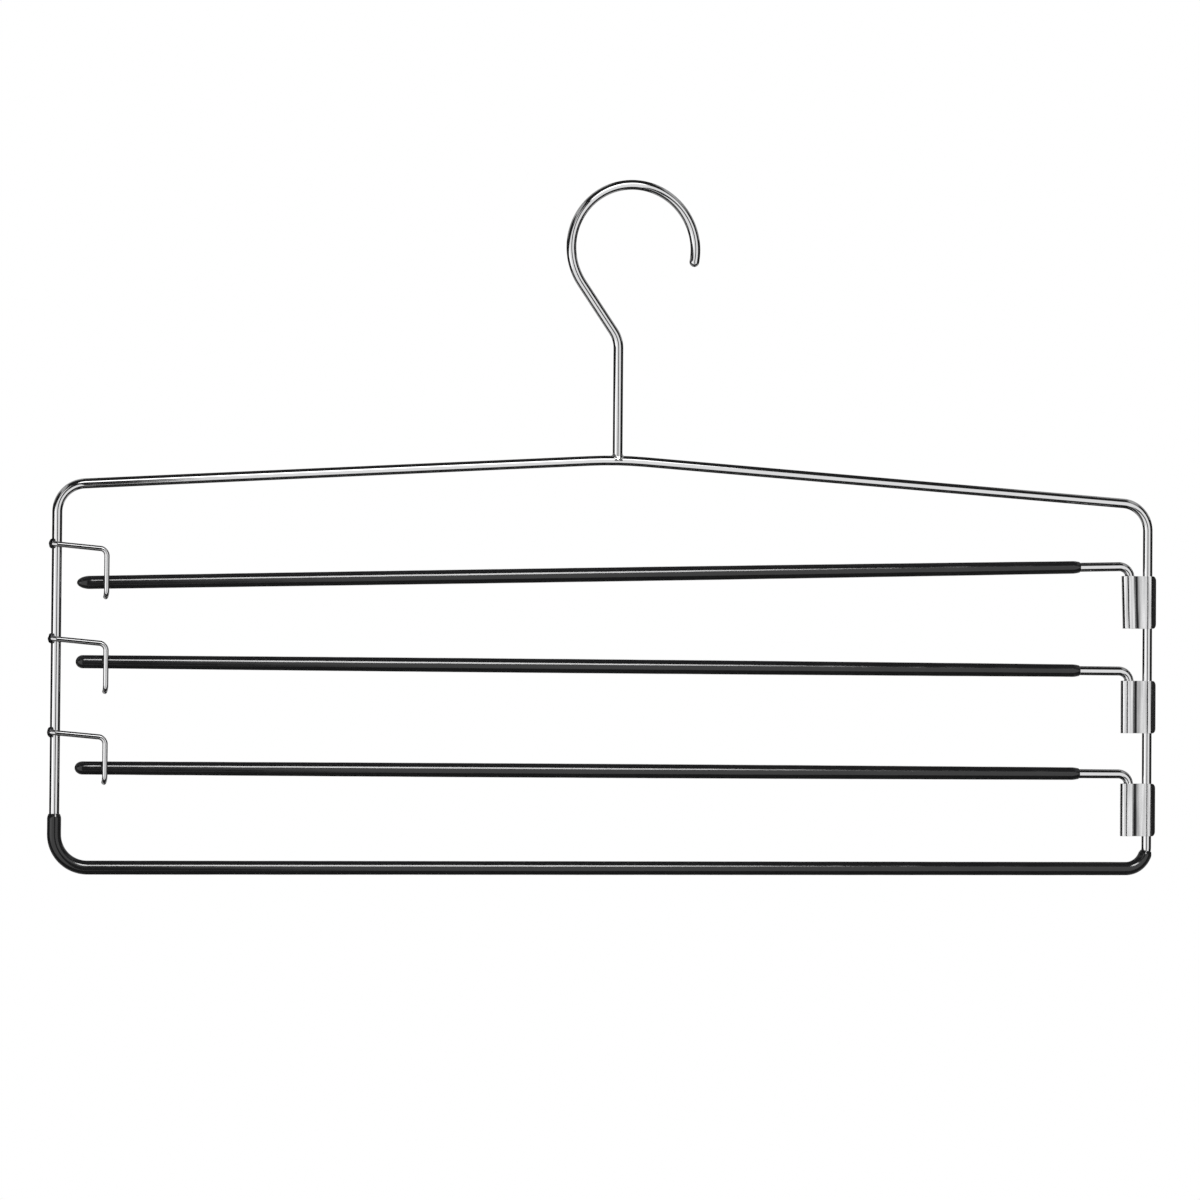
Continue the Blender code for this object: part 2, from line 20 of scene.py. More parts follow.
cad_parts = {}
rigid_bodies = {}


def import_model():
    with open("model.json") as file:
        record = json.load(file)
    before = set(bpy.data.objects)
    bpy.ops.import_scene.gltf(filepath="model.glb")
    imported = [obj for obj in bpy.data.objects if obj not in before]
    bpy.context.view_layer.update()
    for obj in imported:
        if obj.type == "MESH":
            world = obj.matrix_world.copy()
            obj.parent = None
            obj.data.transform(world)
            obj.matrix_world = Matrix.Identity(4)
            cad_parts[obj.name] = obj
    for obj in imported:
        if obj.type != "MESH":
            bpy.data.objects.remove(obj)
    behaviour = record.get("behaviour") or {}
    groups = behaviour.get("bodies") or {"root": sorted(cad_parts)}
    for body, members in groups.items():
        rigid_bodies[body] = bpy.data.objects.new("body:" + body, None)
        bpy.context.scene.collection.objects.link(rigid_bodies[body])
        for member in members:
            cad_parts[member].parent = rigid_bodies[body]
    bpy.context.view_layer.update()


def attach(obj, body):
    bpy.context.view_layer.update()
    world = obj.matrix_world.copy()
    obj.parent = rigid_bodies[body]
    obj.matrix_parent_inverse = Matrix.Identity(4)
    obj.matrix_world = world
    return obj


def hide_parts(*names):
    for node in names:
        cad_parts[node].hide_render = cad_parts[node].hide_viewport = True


LOG = logging.getLogger("hanger")
MM = 0.001

Points = list[Vector]
Span = tuple[float, float]
Plan = list[Span]
Triple = tuple[float, float, float]
Colour = Triple


class Body(Enum):
    """The rigid bodies that pieces ride on."""

    FRAME = "frame"
    UPPER = "upper_arm"
    MIDDLE = "middle_arm"
    LOWER = "lower_arm"


class Slot(Enum):
    """The record's material slots."""

    WIRE = "chromed_wire"
    SHEET = "plated_sheet"
    COAT = "black_coat"


class Value:
    """A node's output socket, on which maths is written as plain expressions."""

    def __init__(self, graph: "Graph", socket: NodeSocket) -> None:
        """Keeps the socket and the graph that it belongs to."""
        self.graph = graph
        self.socket = socket

    def other(self, name: str) -> "Value":
        """Another output of the same node."""
        return Value(self.graph, self.socket.node.outputs[name])

    def maths(self, operation: str, first: "Number", second: "Number") -> "Value":
        """The result of a Math node with two values or links."""
        return self.graph.node("ShaderNodeMath", {"operation": operation}, [first, second])

    def __add__(self, other: "Number") -> "Value":
        """Sum, also with a plain number in front."""
        return self.maths("ADD", self, other)

    __radd__ = __add__

    def __sub__(self, other: "Number") -> "Value":
        """Difference."""
        return self.maths("SUBTRACT", self, other)

    def __rsub__(self, other: "Number") -> "Value":
        """Difference from a plain number."""
        return self.maths("SUBTRACT", other, self)

    def __mul__(self, other: "Number") -> "Value":
        """Product."""
        return self.maths("MULTIPLY", self, other)

    def at_least(self, other: "Number") -> "Value":
        """The larger of two."""
        return self.maths("MAXIMUM", self, other)

    def step(self, low: float, high: float) -> "Value":
        """A smooth step, from 0 at the low value to 1 at the high one."""
        limits = {"Value": self, "From Min": low, "From Max": high}
        return self.graph.node("ShaderNodeMapRange", {"interpolation_type": "SMOOTHSTEP"}, limits)


Number = Union[Value, float]


class Graph:
    """A node tree that grows by one method."""

    def __init__(self, tree: NodeTree) -> None:
        """Keeps the tree."""
        self.tree = tree

    def plug(self, node: Node, key: Union[int, str], value: Any) -> None:
        """Sets or links one input of a node.

        Args:
            node: The node.
            key: The input's name or its place in the order.
            value: A plain value, or the output that is linked.
        """
        if isinstance(value, Value):
            self.tree.links.new(value.socket, node.inputs[key])
        else:
            node.inputs[key].default_value = value

    def node(
        self,
        kind: str,
        settings: Optional[Mapping[str, Any]] = None,
        inputs: Union[Mapping[Any, Any], Sequence[Any], None] = None,
        output: Union[int, str] = 0,
    ) -> Value:
        """Adds a node of any kind.

        Args:
            kind: Identifier of the node's type.
            settings: The node's own properties, set before its sockets.
            inputs: Values or links of its sockets, by key or in order.
            output: Which output is wanted.

        Returns:
            That output.
        """
        node = self.tree.nodes.new(kind)
        for key, value in (settings or {}).items():
            setattr(node, key, value)
        pairs = inputs.items() if isinstance(inputs, Mapping) else enumerate(inputs or [])
        for key, value in pairs:
            self.plug(node, key, value)
        return Value(self, node.outputs[output])


class SurfaceGraph(Graph):
    """The node tree of a material with one Principled shader."""

    MIX_FACTOR, MIX_DARK, MIX_LIGHT, MIX_RESULT = 0, 6, 7, 2

    def __init__(self, name: str) -> None:
        """Starts a material.

        Args:
            name: The material's name.
        """
        self.material = bpy.data.materials.new(name)
        self.material.use_nodes = True
        super().__init__(self.material.node_tree)
        self.shader = self.tree.nodes["Principled BSDF"]

    def feed(self, **values: Any) -> None:
        """Sets or links the shader's sockets, named with underscores for spaces."""
        for name, value in values.items():
            self.plug(self.shader, name.replace("_", " "), value)

    def object_place(self) -> Value:
        """The place on the piece, in metres."""
        return self.node("ShaderNodeTexCoord", output="Object")

    def carried(self, name: str, output: str = "Fac") -> Value:
        """A value that the piece's mesh carries."""
        return self.node("ShaderNodeAttribute", {"attribute_name": name}, output=output)

    def wire_place(self, across: float, along: float) -> Value:
        """The place on a swept piece, stretched along its path.

        Args:
            across: Cells in a radius, round the wire.
            along: Cells in a metre, along the wire.

        Returns:
            The stretched place.
        """
        ring = {"Vector": self.carried(Sweep.RING, "Vector"), "Scale": across}
        spread = self.node("ShaderNodeVectorMath", {"operation": "SCALE"}, ring)
        lift = self.node("ShaderNodeCombineXYZ", inputs={"Z": self.carried(Sweep.ALONG) * along})
        return self.node("ShaderNodeVectorMath", {"operation": "ADD"}, [spread, lift])

    def stretched(self, place: Value, scale: Sequence[float]) -> Value:
        """A place with its own scale on each axis."""
        return self.node("ShaderNodeMapping", inputs={"Vector": place, "Scale": scale})

    def speckle(self, place: Value, scale: float, detail: float = 2.0) -> Value:
        """Noise from 0 to 1, with a number of cells in a unit of the place and of finer layers."""
        return self.node("ShaderNodeTexNoise", inputs={"Vector": place, "Scale": scale, "Detail": detail})

    def shade(self, amount: Value, dark: Colour, light: Colour) -> Value:
        """A colour between two others."""
        ends = {self.MIX_FACTOR: amount, self.MIX_DARK: (*dark, 1), self.MIX_LIGHT: (*light, 1)}
        return self.node("ShaderNodeMix", {"data_type": "RGBA"}, ends, self.MIX_RESULT)

    def bump(self, height: Value, distance: float, strength: float) -> Value:
        """The normal of a relief from 0 to 1, with its height in metres and the share of it that shows."""
        relief = {"Height": height, "Distance": distance, "Strength": strength}
        return self.node("ShaderNodeBump", inputs=relief)


@dataclass(frozen=True)
class ChromedWire:
    """Bright chrome on drawn wire, with faint lines along the wire and a few pores."""

    name: str = "chrome_on_drawn_wire"
    dark: Colour = (0.66, 0.66, 0.665)
    light: Colour = (0.75, 0.75, 0.755)
    roughness: float = 0.058
    relief: float = 0.004 * MM

    def material(self) -> Material:
        """Builds the finish.

        Returns:
            Its material.
        """
        graph = SurfaceGraph(self.name)
        lines = graph.speckle(graph.wire_place(9.0, 28.0), 1.0, 3.0)
        haze = graph.speckle(graph.object_place(), 70.0)
        pores = graph.speckle(graph.object_place(), 1500.0).step(0.7, 0.78)
        graph.feed(
            Base_Color=graph.shade(lines * 0.6 + haze * 0.4, self.dark, self.light),
            Roughness=self.roughness + haze.step(0.45, 0.75) * 0.05 + pores * 0.08,
            Metallic=1.0,
            Normal=graph.bump(lines - pores * 0.4, self.relief, 0.05),
        )
        return graph.material


@dataclass(frozen=True)
class PlatedSheet:
    """Plated strip with rolling streaks up and down, painted darker towards the crease as shade, with a
    painted dark line of shade in the crease.
    """

    # Name of the mesh value that holds the painted crease shade.
    PAINTED_CREASE_SHADE = "painted_crease_shade"

    name: str = "plated_strip"
    # The colour of the painted dark line of shade in the crease.
    crease: Colour = (0.03, 0.03, 0.031)
    light: Colour = (0.82, 0.82, 0.825)
    darkest: float = 0.215
    roughness: float = 0.12
    relief: float = 0.02 * MM

    def material(self) -> Material:
        """Builds the finish.

        Returns:
            Its material.
        """
        graph = SurfaceGraph(self.name)
        place = graph.object_place()
        streaks = graph.speckle(graph.stretched(place, (1500.0, 1500.0, 45.0)), 1.0, 3.0)
        smears = graph.speckle(graph.stretched(place, (260.0, 260.0, 90.0)), 1.0)
        nicks = graph.speckle(place, 1900.0).step(0.69, 0.76)
        # Painted shade: the base colour darkens towards the crease, and a painted dark line of shade lies in
        # it.
        painted_crease_shade = graph.carried(self.PAINTED_CREASE_SHADE)
        bright = 0.45 + streaks.step(0.3, 0.7) * 0.45 + smears * 0.2 - painted_crease_shade * 0.9
        bright = bright.at_least(0.0) * (1 - self.darkest) + self.darkest
        bright = bright - painted_crease_shade.step(0.6, 0.85) * 0.5
        graph.feed(
            Base_Color=graph.shade(bright, self.crease, self.light),
            Roughness=self.roughness + streaks.step(0.4, 0.7) * 0.09 + nicks * 0.1,
            Metallic=1.0,
            Normal=graph.bump(streaks * 0.6 + smears * 0.8 - nicks * 0.3, self.relief, 0.4),
        )
        return graph.material


@dataclass(frozen=True)
class DippedCoat:
    """Soft black plastic from a dip: a smooth skin with a faint orange peel and light rub marks."""

    name: str = "dipped_black_plastic"
    dark: Colour = (0.007, 0.007, 0.0075)
    light: Colour = (0.014, 0.014, 0.0145)
    roughness: float = 0.1
    relief: float = 0.006 * MM

    def material(self) -> Material:
        """Builds the finish.

        Returns:
            Its material.
        """
        graph = SurfaceGraph(self.name)
        place = graph.object_place()
        peel = graph.speckle(place, 900.0, 1.0)
        haze = graph.speckle(place, 85.0, 3.0)
        rubs = graph.speckle(graph.wire_place(5.0, 60.0), 1.0, 4.0).step(0.58, 0.72)
        graph.feed(
            Base_Color=graph.shade(haze * 0.6 + rubs * 0.4, self.dark, self.light),
            Roughness=self.roughness + haze.step(0.35, 0.7) * 0.05 + rubs * 0.06,
            Normal=graph.bump(peel * 0.3 + haze * 0.7, self.relief, 0.25),
        )
        return graph.material


@dataclass(frozen=True)
class WeldMetal:
    """A small resistance weld: plated over, but darker and rougher than the wire beside it."""

    name: str = "weld_metal"
    dark: Colour = (0.01, 0.01, 0.011)
    light: Colour = (0.055, 0.055, 0.057)
    roughness: float = 0.16
    relief: float = 0.05 * MM

    def material(self) -> Material:
        """Builds the finish.

        Returns:
            Its material.
        """
        graph = SurfaceGraph(self.name)
        place = graph.object_place()
        scale = graph.speckle(place, 900.0, 4.0)
        pits = graph.speckle(place, 2600.0).step(0.6, 0.7)
        graph.feed(
            Base_Color=graph.shade(scale.step(0.35, 0.7), self.dark, self.light),
            Roughness=self.roughness + scale * 0.2 + pits * 0.1,
            Metallic=1.0,
            Normal=graph.bump(scale - pits * 0.4, self.relief, 0.5),
        )
        return graph.material


FILLET = WeldMetal("plated_weld", (0.5, 0.5, 0.505), (0.74, 0.74, 0.745), 0.06)


@dataclass(frozen=True)
class Finishes:
    """The materials of the hanger, one of each kind."""

    wire: Material = field(default_factory=ChromedWire().material)
    sheet: Material = field(default_factory=PlatedSheet().material)
    coat: Material = field(default_factory=DippedCoat().material)
    weld: Material = field(default_factory=WeldMetal().material)
    fillet: Material = field(default_factory=FILLET.material)


@dataclass
class Track:
    """Points with a radius each, which a sweep follows."""

    points: Points
    widths: list[float]
    closed: bool = False
    bore: bool = False

    @classmethod
    def even(cls, points: Points, radius: float, closed: bool = False, bore: bool = False) -> "Track":
        """A track with the same radius all along."""
        return cls(list(points), [radius] * len(points), closed, bore)

    def round_end(self, depth: float, steps: int = 7) -> "Track":
        """Draws the track's end in to a round tip.

        Args:
            depth: Length of the tip.
            steps: Rings in the tip.

        Returns:
            The track itself.
        """
        radius = self.widths[-1]
        angles = [math.pi / 2 * step / steps for step in range(steps + 1)]
        rings = [self.from_end(depth * (1 - math.sin(angle))) for angle in angles]
        while depth >= 0:
            tip = self.points.pop()
            self.widths.pop()
            depth -= (tip - self.points[-1]).length
        self.points += rings
        self.widths += [radius * math.cos(angle) for angle in angles[:-1]] + [0.0]
        return self

    def from_end(self, distance: float) -> Vector:
        """Finds a place near the track's end.

        Args:
            distance: How far it is from the end, along the track.

        Returns:
            The point.
        """
        for tip, before in zip(self.points[::-1], self.points[-2::-1]):
            run = (tip - before).length
            if distance <= run:
                break
            distance -= run
        return tip.lerp(before, distance / run)

    def round_both(self, start: float, end: float) -> "Track":
        """Draws both ends in, over a length of their own."""
        return self.round_end(end).turned().round_end(start).turned()

    def turned(self) -> "Track":
        """The track run the other way."""
        return Track(self.points[::-1], self.widths[::-1], self.closed, self.bore)

    def moved(self, place: Matrix) -> "Track":
        """Moves all the points."""
        self.points = [place @ point for point in self.points]
        return self


@dataclass(frozen=True)
class Ripple:
    """Unevenness of a swept skin: its height, its length on each axis and its seed."""

    height: float = 0.0
    length: Triple = (1.0, 1.0, 1.0)
    seed: float = 0.0


class Sweep:
    """Geometry Nodes that turn tracks into round wires and bored coats."""

    RING = "ring"
    ALONG = "along"
    WIDTH = "width"
    BORE = "bore"
    WELD_DISTANCE = 0.0005 * MM
    SETTINGS = {
        "Sides": "NodeSocketInt",
        "Ripple Height": "NodeSocketFloat",
        "Ripple Length": "NodeSocketVector",
        "Seed": "NodeSocketFloat",
        "Finish": "NodeSocketMaterial",
    }

    def __init__(self) -> None:
        """Builds the tree once, for all swept pieces."""
        self.tree = bpy.data.node_groups.new("swept_round", "GeometryNodeTree")
        self.graph = Graph(self.tree)
        add = self.tree.interface.new_socket
        add("Tracks", in_out="INPUT", socket_type="NodeSocketGeometry")
        self.sockets: dict[str, str] = {}
        for name, kind in self.SETTINGS.items():
            self.sockets[name] = add(name, in_out="INPUT", socket_type=kind).identifier
        add("Piece", in_out="OUTPUT", socket_type="NodeSocketGeometry")
        self._lay_out()

    def _named(self, name: str) -> Value:
        """A number that the tracks carry."""
        return self.graph.node("GeometryNodeInputNamedAttribute", {"data_type": "FLOAT"}, {"Name": name})

    def _store(self, geometry: Value, kind: str, name: str, value: Value) -> Value:
        """Keeps a value on the points of a geometry."""
        inputs = {"Geometry": geometry, "Name": name, "Value": value}
        return self.graph.node("GeometryNodeStoreNamedAttribute", {"data_type": kind}, inputs)

    def _tube(self, given: Value) -> Value:
        """Sweeps a ring along the tracks, turns bores inside out and closes ends and lips.

        Args:
            given: The group's input.

        Returns:
            The swept mesh.
        """
        node = self.graph.node
        path = node("GeometryNodeMeshToCurve", inputs={"Mesh": given})
        path = self._store(path, "FLOAT", self.ALONG, node("GeometryNodeSplineParameter", output="Length"))
        circle = {"Resolution": given.other("Sides"), "Radius": 1.0}
        ring = node("GeometryNodeCurvePrimitiveCircle", inputs=circle)
        ring = self._store(ring, "FLOAT_VECTOR", self.RING, node("GeometryNodeInputPosition"))
        swept = {"Curve": path, "Profile Curve": ring, "Scale": self._named(self.WIDTH), "Fill Caps": False}
        tube = node("GeometryNodeCurveToMesh", inputs=swept)
        tube = node("GeometryNodeFlipFaces", inputs={"Mesh": tube, "Selection": self._named(self.BORE)})
        return node("GeometryNodeMergeByDistance", inputs={"Geometry": tube, "Distance": self.WELD_DISTANCE})

    def _rippled(self, tube: Value, given: Value) -> Value:
        """Lifts the outer skin by noise.

        Args:
            tube: The swept mesh.
            given: The group's input.

        Returns:
            The uneven mesh.
        """
        node = self.graph.node
        stretch = [node("GeometryNodeInputPosition"), given.other("Ripple Length")]
        place = node("ShaderNodeVectorMath", {"operation": "DIVIDE"}, stretch)
        grain = {"Vector": place, "W": given.other("Seed"), "Scale": 1.0}
        wave = node("ShaderNodeTexNoise", {"noise_dimensions": "4D"}, grain)
        lift = (wave - 0.5) * 2.0 * given.other("Ripple Height") * (1.0 - self._named(self.BORE))
        away = {"Vector": node("GeometryNodeInputNormal"), "Scale": lift}
        offset = node("ShaderNodeVectorMath", {"operation": "SCALE"}, away)
        return node("GeometryNodeSetPosition", inputs={"Geometry": tube, "Offset": offset})

    def _lay_out(self) -> None:
        """Joins the stages from the group's input to its output."""
        node = self.graph.node
        given = node("NodeGroupInput", output="Tracks")
        skin = self._rippled(self._tube(given), given)
        skin = node("GeometryNodeSetShadeSmooth", inputs={"Geometry": skin, "Shade Smooth": True})
        skin = node("GeometryNodeRealizeInstances", inputs={"Geometry": skin})
        skin = node("GeometryNodeSetMaterial", inputs={"Geometry": skin, "Material": given.other("Finish")})
        self.graph.plug(self.tree.nodes.new("NodeGroupOutput"), "Piece", skin)

    def make(
        self,
        name: str,
        tracks: Sequence[Track],
        finish: Material,
        sides: int,
        ripple: Ripple = Ripple(),
    ) -> Object:
        """Sweeps tracks into one piece.

        Args:
            name: The piece's name.
            tracks: What it follows.
            finish: Its material.
            sides: Faces round it.
            ripple: Unevenness of its skin.

        Returns:
            The piece, as a plain mesh.
        """
        points, edges, widths, bores = [], [], [], []
        for track in tracks:
            first, count = len(points), len(track.points)
            edges += [(first + i, first + i + 1) for i in range(count - 1)]
            if track.closed:
                edges.append((first + count - 1, first))
            points += track.points
            widths += track.widths
            bores += [float(track.bore)] * count
        mesh = bpy.data.meshes.new(name)
        mesh.from_pydata(points, edges, [])
        for key, values in ((self.WIDTH, widths), (self.BORE, bores)):
            mesh.attributes.new(key, "FLOAT", "POINT").data.foreach_set("value", values)
        piece = Shop.placed(name, mesh)
        modifier = piece.modifiers.new("sweep", "NODES")
        modifier.node_group = self.tree
        given = (sides, ripple.height, ripple.length, ripple.seed, finish)
        for key, value in zip(self.SETTINGS, given):
            modifier[self.sockets[key]] = value
        return Shop.settled(piece)


class Shop:
    """Small jobs that every sub-assembly needs."""

    BEND_STEP = math.radians(4)
    FEWEST_STEPS = 4

    @staticmethod
    def placed(name: str, data: ID) -> Object:
        """Makes an object and puts it into the scene.

        Args:
            name: The object's name.
            data: Its mesh, light or camera.

        Returns:
            The object.
        """
        made = bpy.data.objects.new(name, data)
        bpy.context.scene.collection.objects.link(made)
        return made

    @staticmethod
    def settled(piece: Object) -> Object:
        """Turns what a piece's modifiers make into its plain mesh.

        Args:
            piece: An object with live modifiers.

        Returns:
            The same object without them.
        """
        bpy.context.view_layer.update()
        graph = bpy.context.evaluated_depsgraph_get()
        made = bpy.data.meshes.new_from_object(
            piece.evaluated_get(graph), preserve_all_data_layers=True, depsgraph=graph
        )
        piece.modifiers.clear()
        spent = piece.data
        piece.data = made
        bpy.data.meshes.remove(spent)
        made.name = piece.name
        return piece

    @staticmethod
    def from_shape(name: str, shape: BMesh, *finishes: Material) -> Object:
        """Makes a piece of a shape.

        Args:
            name: The piece's name.
            shape: Its faces, which are freed.
            finishes: Its materials.

        Returns:
            The piece.
        """
        mesh = bpy.data.meshes.new(name)
        shape.to_mesh(mesh)
        shape.free()
        for finish in finishes:
            mesh.materials.append(finish)
        mesh.shade_smooth()
        return Shop.placed(name, mesh)

    @staticmethod
    def hand_over(piece: Object, body: Body, slot: Slot, node: Optional[str] = None) -> None:
        """Ties a piece to its body and hides the solid that it stands for.

        Args:
            piece: The finished piece.
            body: What it rides on.
            slot: Where its finish comes from; not used.
            node: The solid that it replaces, if there is one.
        """
        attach(piece, body.value)
        if node:
            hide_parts(node)
        LOG.info("%s rides on %s, %d faces", piece.name, body.value, len(piece.data.polygons))

    @staticmethod
    def arc(radius: float, start: float, end: float, steps: int) -> Plan:
        """Points of an arc round the origin of a plane."""
        angles = [start + (end - start) * i / steps for i in range(steps + 1)]
        return [(radius * math.cos(angle), radius * math.sin(angle)) for angle in angles]

    @staticmethod
    def bent(corners: Sequence[Vector], radii: Sequence[float]) -> Points:
        """Bends a path at its corners.

        Args:
            corners: Where the straight runs meet.
            radii: The bend's radius at each corner, 0 for an end.

        Returns:
            The points along the runs and the bends, in order.
        """
        points = []
        for index, (corner, radius) in enumerate(zip(corners, radii)):
            if not radius:
                points.append(corner.copy())
                continue
            back = (corners[index - 1] - corner).normalized()
            onward = (corners[(index + 1) % len(corners)] - corner).normalized()
            half = back.angle(onward) / 2
            centre = corner + (back + onward).normalized() * (radius / math.sin(half))
            first = corner + back * (radius / math.tan(half)) - centre
            turn = math.pi - 2 * half
            axis = back.cross(onward).normalized()
            count = max(Shop.FEWEST_STEPS, round(turn / Shop.BEND_STEP))
            for i in range(count + 1):
                points.append(centre + Matrix.Rotation(-turn * i / count, 3, axis) @ first)
        return points

    @staticmethod
    def filled(points: Points, spacing: float) -> Points:
        """Adds points to long straight runs, so that a skin can ripple there.

        Args:
            points: A path.
            spacing: The largest distance between two of its points.

        Returns:
            The path with more points.
        """
        full = [points[0]]
        for start, end in zip(points, points[1:]):
            count = max(1, math.ceil((end - start).length / spacing))
            full += [start.lerp(end, i / count) for i in range(1, count + 1)]
        return full

    @staticmethod
    def skinned(shape: BMesh, columns: Sequence[list[BMVert]]) -> list[BMFace]:
        """Spans faces between neighbouring columns of corners.

        Args:
            shape: What the faces go into.
            columns: Columns of one length. In a closed skin, the first corner or column comes last too.

        Returns:
            The faces.
        """
        faces = []
        for left, right in zip(columns, columns[1:]):
            for i in range(len(left) - 1):
                faces.append(shape.faces.new((left[i], right[i], right[i + 1], left[i + 1])))
        return faces


@dataclass(frozen=True)
class Sizes:
    """Sizes that several sub-assemblies share, in metres."""

    wire_radius: float = 1.695 * MM
    arm_radius: float = 1.6 * MM
    frame_width: float = 380 * MM
    stem_x: float = -5.05 * MM
    apex_z: float = -92.075 * MM
    apex_corner_z: float = -91.771 * MM
    shoulder_z: float = -103.871 * MM
    bar_z: float = -229.921 * MM
    left_foot_radius: float = 11 * MM
    right_foot_radius: float = 7.5 * MM
    arm_coat_radius: float = 2.2 * MM
    coat_spacing: float = 2.5 * MM

    @property
    def left_x(self) -> float:
        """The left post's axis."""
        return self.stem_x - self.frame_width / 2

    @property
    def right_x(self) -> float:
        """The right post's axis."""
        return self.stem_x + self.frame_width / 2


@dataclass
class SubAssembly:
    """What every sub-assembly is made with: the shared sizes, the sweep and the finishes."""

    sizes: Sizes
    sweep: Sweep
    finishes: Finishes


@dataclass
class FrameLoop(SubAssembly):
    """The closed loop of wire with its shoulders, posts and bottom bar."""

    apex_bend: float = 150 * MM
    top_corner: float = 9.5 * MM
    sides: int = 36

    def build(self) -> None:
        """Sweeps the loop and dresses it."""
        s = self.sizes
        corners = [
            Vector((s.stem_x, 0, s.apex_corner_z)),
            Vector((s.right_x, 0, s.shoulder_z)),
            Vector((s.right_x, 0, s.bar_z)),
            Vector((s.left_x, 0, s.bar_z)),
            Vector((s.left_x, 0, s.shoulder_z)),
        ]
        radii = (self.apex_bend, self.top_corner, s.right_foot_radius, s.left_foot_radius, self.top_corner)
        track = Track.even(Shop.bent(corners, radii), s.wire_radius, closed=True)
        piece = self.sweep.make("chromed_frame_loop", [track], self.finishes.wire, self.sides)
        Shop.hand_over(piece, Body.FRAME, Slot.WIRE, "frame_wire")


@dataclass
class Hook(SubAssembly):
    """The hook with its slanted run, its stem and the weld on the frame's apex."""

    inner_radius: float = 20 * MM
    tip_angle: float = math.radians(-15)
    lean: float = math.radians(34.7)
    stem_corner_z: float = -50.825 * MM
    stem_bend: float = 10 * MM
    arc_steps: int = 72
    sides: int = 36
    weld_spread: float = 0.55 * MM
    weld_rise: float = 0.9 * MM
    weld_sink: float = 0.25 * MM
    weld_turns: int = 40
    weld_hollow: int = 6
    weld_waves: tuple[tuple[float, int, float], ...] = ((0.12, 3, 0.7), (0.07, 7, 0.0))

    def arc(self) -> Points:
        """Bends the round of the hook.

        Returns:
            Points from the start of the slanted run over the top to the tip.
        """
        radius = self.inner_radius + self.sizes.wire_radius
        turn = Shop.arc(radius, math.pi + self.lean, self.tip_angle, self.arc_steps)
        return [Vector((x, 0, z - self.inner_radius)) for x, z in turn]

    def build(self) -> None:
        """Sweeps the hook, adds the weld and dresses both."""
        s = self.sizes
        arc = self.arc()
        foot = Vector((s.stem_x, 0, s.apex_z))
        corner = Vector((s.stem_x, 0, self.stem_corner_z))
        path = Shop.bent([foot, corner, arc[0]], (0, self.stem_bend, 0)) + arc[1:]
        track = Track.even(path, s.wire_radius).round_both(s.wire_radius / 2, s.wire_radius)
        hook = self.sweep.make("chromed_hook", [track], self.finishes.wire, self.sides)
        Shop.hand_over(hook, Body.FRAME, Slot.WIRE, "hook")
        weld = Shop.from_shape("stem_weld", self.weld_shape(), self.finishes.fillet)
        Shop.hand_over(weld, Body.FRAME, Slot.WIRE)

    def weld_section(self) -> Plan:
        """Draws the section of the weld.

        Returns:
            Its outline, out from the stem's axis and up: a hollow slope, then the sides inside the wires.
        """
        radius = self.sizes.wire_radius
        section = []
        for step in range(self.weld_hollow + 1):
            angle = math.pi / 2 * step / self.weld_hollow
            out = self.weld_spread * (1 - math.sin(angle))
            section.append((radius + out, self.weld_rise * (1 - math.cos(angle))))
        inside = radius - self.weld_sink
        section += [(inside, self.weld_rise), (inside, -self.weld_sink)]
        return section + [(radius + self.weld_spread, -self.weld_sink)]

    def weld_shape(self) -> BMesh:
        """Lays the fillet between the stem's foot and the frame's round top.

        Returns:
            A closed ring that fills the corner and reaches a little into both wires.
        """
        s = self.sizes
        radius = s.wire_radius
        section = self.weld_section()
        shape = bmesh.new()
        rings = []
        for turn in range(self.weld_turns):
            angle = 2 * math.pi * turn / self.weld_turns
            waves = [height * math.sin(count * angle + shift) for height, count, shift in self.weld_waves]
            rough = 1 + sum(waves)
            ring = []
            for out, up in section:
                out = radius + (out - radius) * rough
                across = out * math.sin(angle)
                saddle = math.sqrt(max(0.0, radius**2 - min(abs(across), radius) ** 2))
                along = s.stem_x + out * math.cos(angle)
                ring.append(shape.verts.new((along, across, s.apex_z + saddle + up)))
            rings.append(ring + ring[:1])
        Shop.skinned(shape, rings + rings[:1])
        bmesh.ops.recalc_face_normals(shape, faces=shape.faces)
        return shape


@dataclass(frozen=True)
class CoatSkin:
    """Outside of a coat with two open ends: full in between, tapered and rounded to its bore at each end."""

    radius: float
    bore: float
    lip: float
    taper: float
    marks: tuple[float, ...] = (0.0, 0.1, 0.3, 0.6, 1.0)
    slack: float = 1e-12

    def width(self, distance: float) -> float:
        """Finds the coat's radius near an open end.

        Args:
            distance: How far it is from the end.

        Returns:
            The radius.
        """
        edge = self.bore + self.lip
        if distance < self.lip:
            rounding = distance / self.lip
            return self.bore + self.lip * math.sqrt(1 - (1 - rounding) ** 2)
        share = min(1.0, (distance - self.lip) / self.taper)
        return edge + (self.radius - edge) * math.sin(share * math.pi / 2)

    def outside(self, path: Points) -> Track:
        """Follows a path, with more points near the ends.

        Args:
            path: The middle of the coat.

        Returns:
            The track of the outside.
        """
        lengths = [0.0]
        for start, end in zip(path, path[1:]):
            lengths.append(lengths[-1] + (end - start).length)
        total = lengths[-1]
        near = [self.lip * mark for mark in self.marks]
        near += [self.lip + self.taper * mark for mark in self.marks[1:]]
        wanted = sorted(set(near) | {total - mark for mark in near} | set(lengths))
        points, widths = [], []
        for place in wanted:
            index = max(i for i, length in enumerate(lengths) if length <= place + self.slack)
            index = min(index, len(path) - 2)
            share = (place - lengths[index]) / (lengths[index + 1] - lengths[index])
            points.append(path[index].lerp(path[index + 1], share))
            widths.append(self.width(min(place, total - place)))
        return Track(points, widths)


